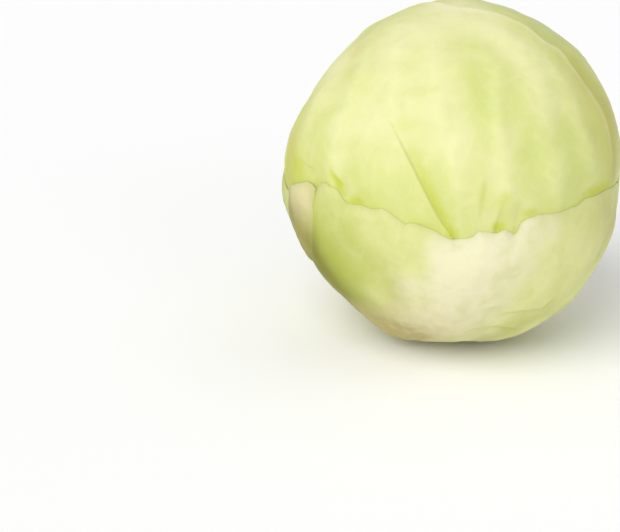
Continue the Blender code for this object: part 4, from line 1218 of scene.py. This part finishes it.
def leaf_material(name, palette):
    """Waxy cabbage leaf: coats of colour laid over each other by the painted layers, broken up by
    noise, with two fine nets of veins. Some of the coats are painted shade and painted highlight."""
    graph = Graph(name)
    cloud = graph.noise(28.0, 4.0, 0.6)
    fleck = graph.noise(210.0, 3.0)
    mottle = graph.noise(88.0, 2.0, 0.4)
    streak = graph.noise(60.0, 4.0, 0.8, (1.0, 1.0, 0.3))
    net = graph.network(150.0, (1.0, 1.0, 0.55), 0.005)
    fine_net = graph.network(420.0, (1.0, 1.0, 0.8), 0.0018)
    thin_green = graph.range(cloud, 0.45, 0.75, 0.0, 0.4)
    # Each coat's colour and the share of it that shows, in the order in which they are laid
    coats = (
        ("greener", graph.math("MULTIPLY_ADD", graph.attribute("green"), 0.8, thin_green)),
        ("pale", graph.painted("pale", graph.range(streak, 0.2, 0.7, 0.55, 1.0))),
        ("pale", graph.range(streak, 0.45, 0.8, 0.0, 0.3)),
        ("cream", graph.painted("cream", graph.range(cloud, 0.2, 0.6, 0.85, 1.0))),
        ("vein", graph.painted("vein", 0.4)),
        ("vein", graph.math("MULTIPLY", net, 0.07)),
        ("vein", graph.math("MULTIPLY", fine_net, 0.05)),
        ("greener", graph.range(mottle, 0.48, 0.72, 0.0, 0.22)),
        ("cream", graph.range(mottle, 0.50, 0.30, 0.0, 0.16)),
        # The next two coats are painted shade, a saturated green and a dark one; the brownish coat after
        # them is partly painted shade
        ("deep", graph.painted("deep", graph.range(mottle, 0.3, 0.7, 0.8, 0.95))),
        ("olive", graph.painted("olive", graph.range(streak, 0.3, 0.7, 0.85, 1.0))),
        ("tan", graph.painted("tan", graph.range(fleck, 0.3, 0.62, 0.7, 1.0))),
        ("torn", graph.attribute("torn")),
        ("greener", graph.range(fleck, 0.3, 0.7, 0.0, 0.06)),
    )
    colour = palette["green"]
    for coat, share in coats:
        colour = graph.mix(share, colour, palette[coat])
    height = graph.math("MULTIPLY_ADD", net, 0.3, graph.math("MULTIPLY_ADD", fine_net, 0.2, fleck))
    graph.surface({
        "Base Color": colour,
        "Roughness": graph.range(cloud, 0.3, 0.7, 0.42, 0.58),
        "Subsurface Weight": 0.22,
        "Subsurface Radius": (1.0, 0.85, 0.35),
        "Subsurface Scale": 0.004,
        "Specular IOR Level": 0.1,
        "Normal": graph.bump(height, 0.2, 0.00025),
    })
    return graph.material


def stem_material():
    """Cut stump: pale pith, a slightly darker ring under the skin, and fibres up the side."""
    graph = Graph("cut_stem")
    cloud = graph.noise(90.0, 4.0, 0.5)
    fibre = graph.noise(260.0, 4.0, 0.3, (1.0, 1.0, 0.15))
    away = graph.add("VectorMath", "Value", {0: graph.stretched((1.0, 1.0, 0.0))}, operation="LENGTH")
    distance = graph.math("MULTIPLY_ADD", cloud, 0.0016, away)
    inner_side = graph.range(distance, 0.0118, 0.0132)
    ring = graph.math("MULTIPLY", inner_side, graph.range(distance, 0.0152, 0.0138))
    colour = graph.mix(graph.range(cloud, 0.3, 0.7), STEM_PITH, STEM_DARKER_PITH)
    colour = graph.mix(ring, colour, STEM_RING)
    colour = graph.mix(graph.range(distance, 0.0150, 0.0166), colour, STEM_SKIN)
    colour = graph.mix(graph.range(fibre, 0.5, 0.8, 0.0, 0.5), colour, STEM_FIBRE)
    graph.surface({
        "Base Color": colour,
        "Roughness": graph.range(fibre, 0.3, 0.7, 0.55, 0.75),
        "Subsurface Weight": 0.1,
        "Subsurface Scale": 0.002,
        "Normal": graph.bump(fibre, 0.5, 0.0004),
    })
    return graph.material


def make_camera():
    """Camera at the photograph's angle, aimed so that the head's middle falls on its pixel."""
    focal = LENS / SENSOR * IMAGE_WIDTH
    radius = BODY_RADIUS * MM
    distance = math.hypot(focal * radius / HEAD_PIXEL_RADIUS, radius)
    rise = math.radians(CAMERA_ELEVATION)
    right = HEAD_PIXEL_X - IMAGE_WIDTH / 2
    up = IMAGE_HEIGHT / 2 - HEAD_PIXEL_Y
    ray = math.sqrt(right ** 2 + up ** 2 + focal ** 2)
    turn = math.asin(right / (ray * math.cos(rise)))
    level, down = math.cos(turn) * math.cos(rise), math.sin(rise)
    pitch = math.atan2(down, level) + math.asin(up / ray / math.hypot(level, down))
    data = bpy.data.cameras.new("photo_view")
    data.lens = LENS
    data.sensor_width = SENSOR
    data.clip_start = CLIP_START
    camera = bpy.data.objects.new("photo_view", data)
    camera.location = Vector((0.0, -math.cos(rise), math.sin(rise))) * distance
    camera.location.z += CENTRE_HEIGHT * MM
    camera.rotation_euler = (math.pi / 2 - pitch, 0.0, turn)
    bpy.context.scene.collection.objects.link(camera)
    bpy.context.scene.camera = camera


WORLD_STRENGTH = 0.59
FLOOR_SIZE = 40.0
FLOOR_COLOUR = (0.95, 0.95, 0.95)
# Soft lights: name, where it comes from, its strength and the angle it spans in degrees
SUNS = (
    ("key_light", (-0.4, -0.64, 0.7), 1.9, 50.0),
    ("fill_light", (0.5, -0.9, 0.1), 0.75, 60.0),
)


def make_stage():
    """Pale floor, bright even surroundings, and soft lights from the upper left and the right."""
    bpy.context.scene.view_settings.view_transform = "Standard"
    bpy.ops.mesh.primitive_plane_add(size=FLOOR_SIZE)
    floor = bpy.context.object
    floor.name = "floor"
    graph = Graph("pale_floor")
    graph.surface({"Base Color": FLOOR_COLOUR, "Roughness": 0.9, "Specular IOR Level": 0.1})
    floor.data.materials.append(graph.material)
    world = bpy.data.worlds.new("studio")
    world.use_nodes = True
    background = world.node_tree.nodes["Background"]
    background.inputs["Color"].default_value = (1.0, 1.0, 1.0, 1.0)
    background.inputs["Strength"].default_value = WORLD_STRENGTH
    bpy.context.scene.world = world
    for name, direction, strength, angle in SUNS:
        data = bpy.data.lights.new(name, "SUN")
        data.energy = strength
        data.angle = math.radians(angle)
        light = bpy.data.objects.new(name, data)
        light.rotation_euler = Vector(direction).to_track_quat("Z", "Y").to_euler()
        bpy.context.scene.collection.objects.link(light)


make_camera()
make_stage()
make_head()
make_stem()
for leaf, under in LEAVES:
    make_leaf(leaf, under, REMNANT_PALETTE if leaf is LEFT_LEAF else LEAF_PALETTE)
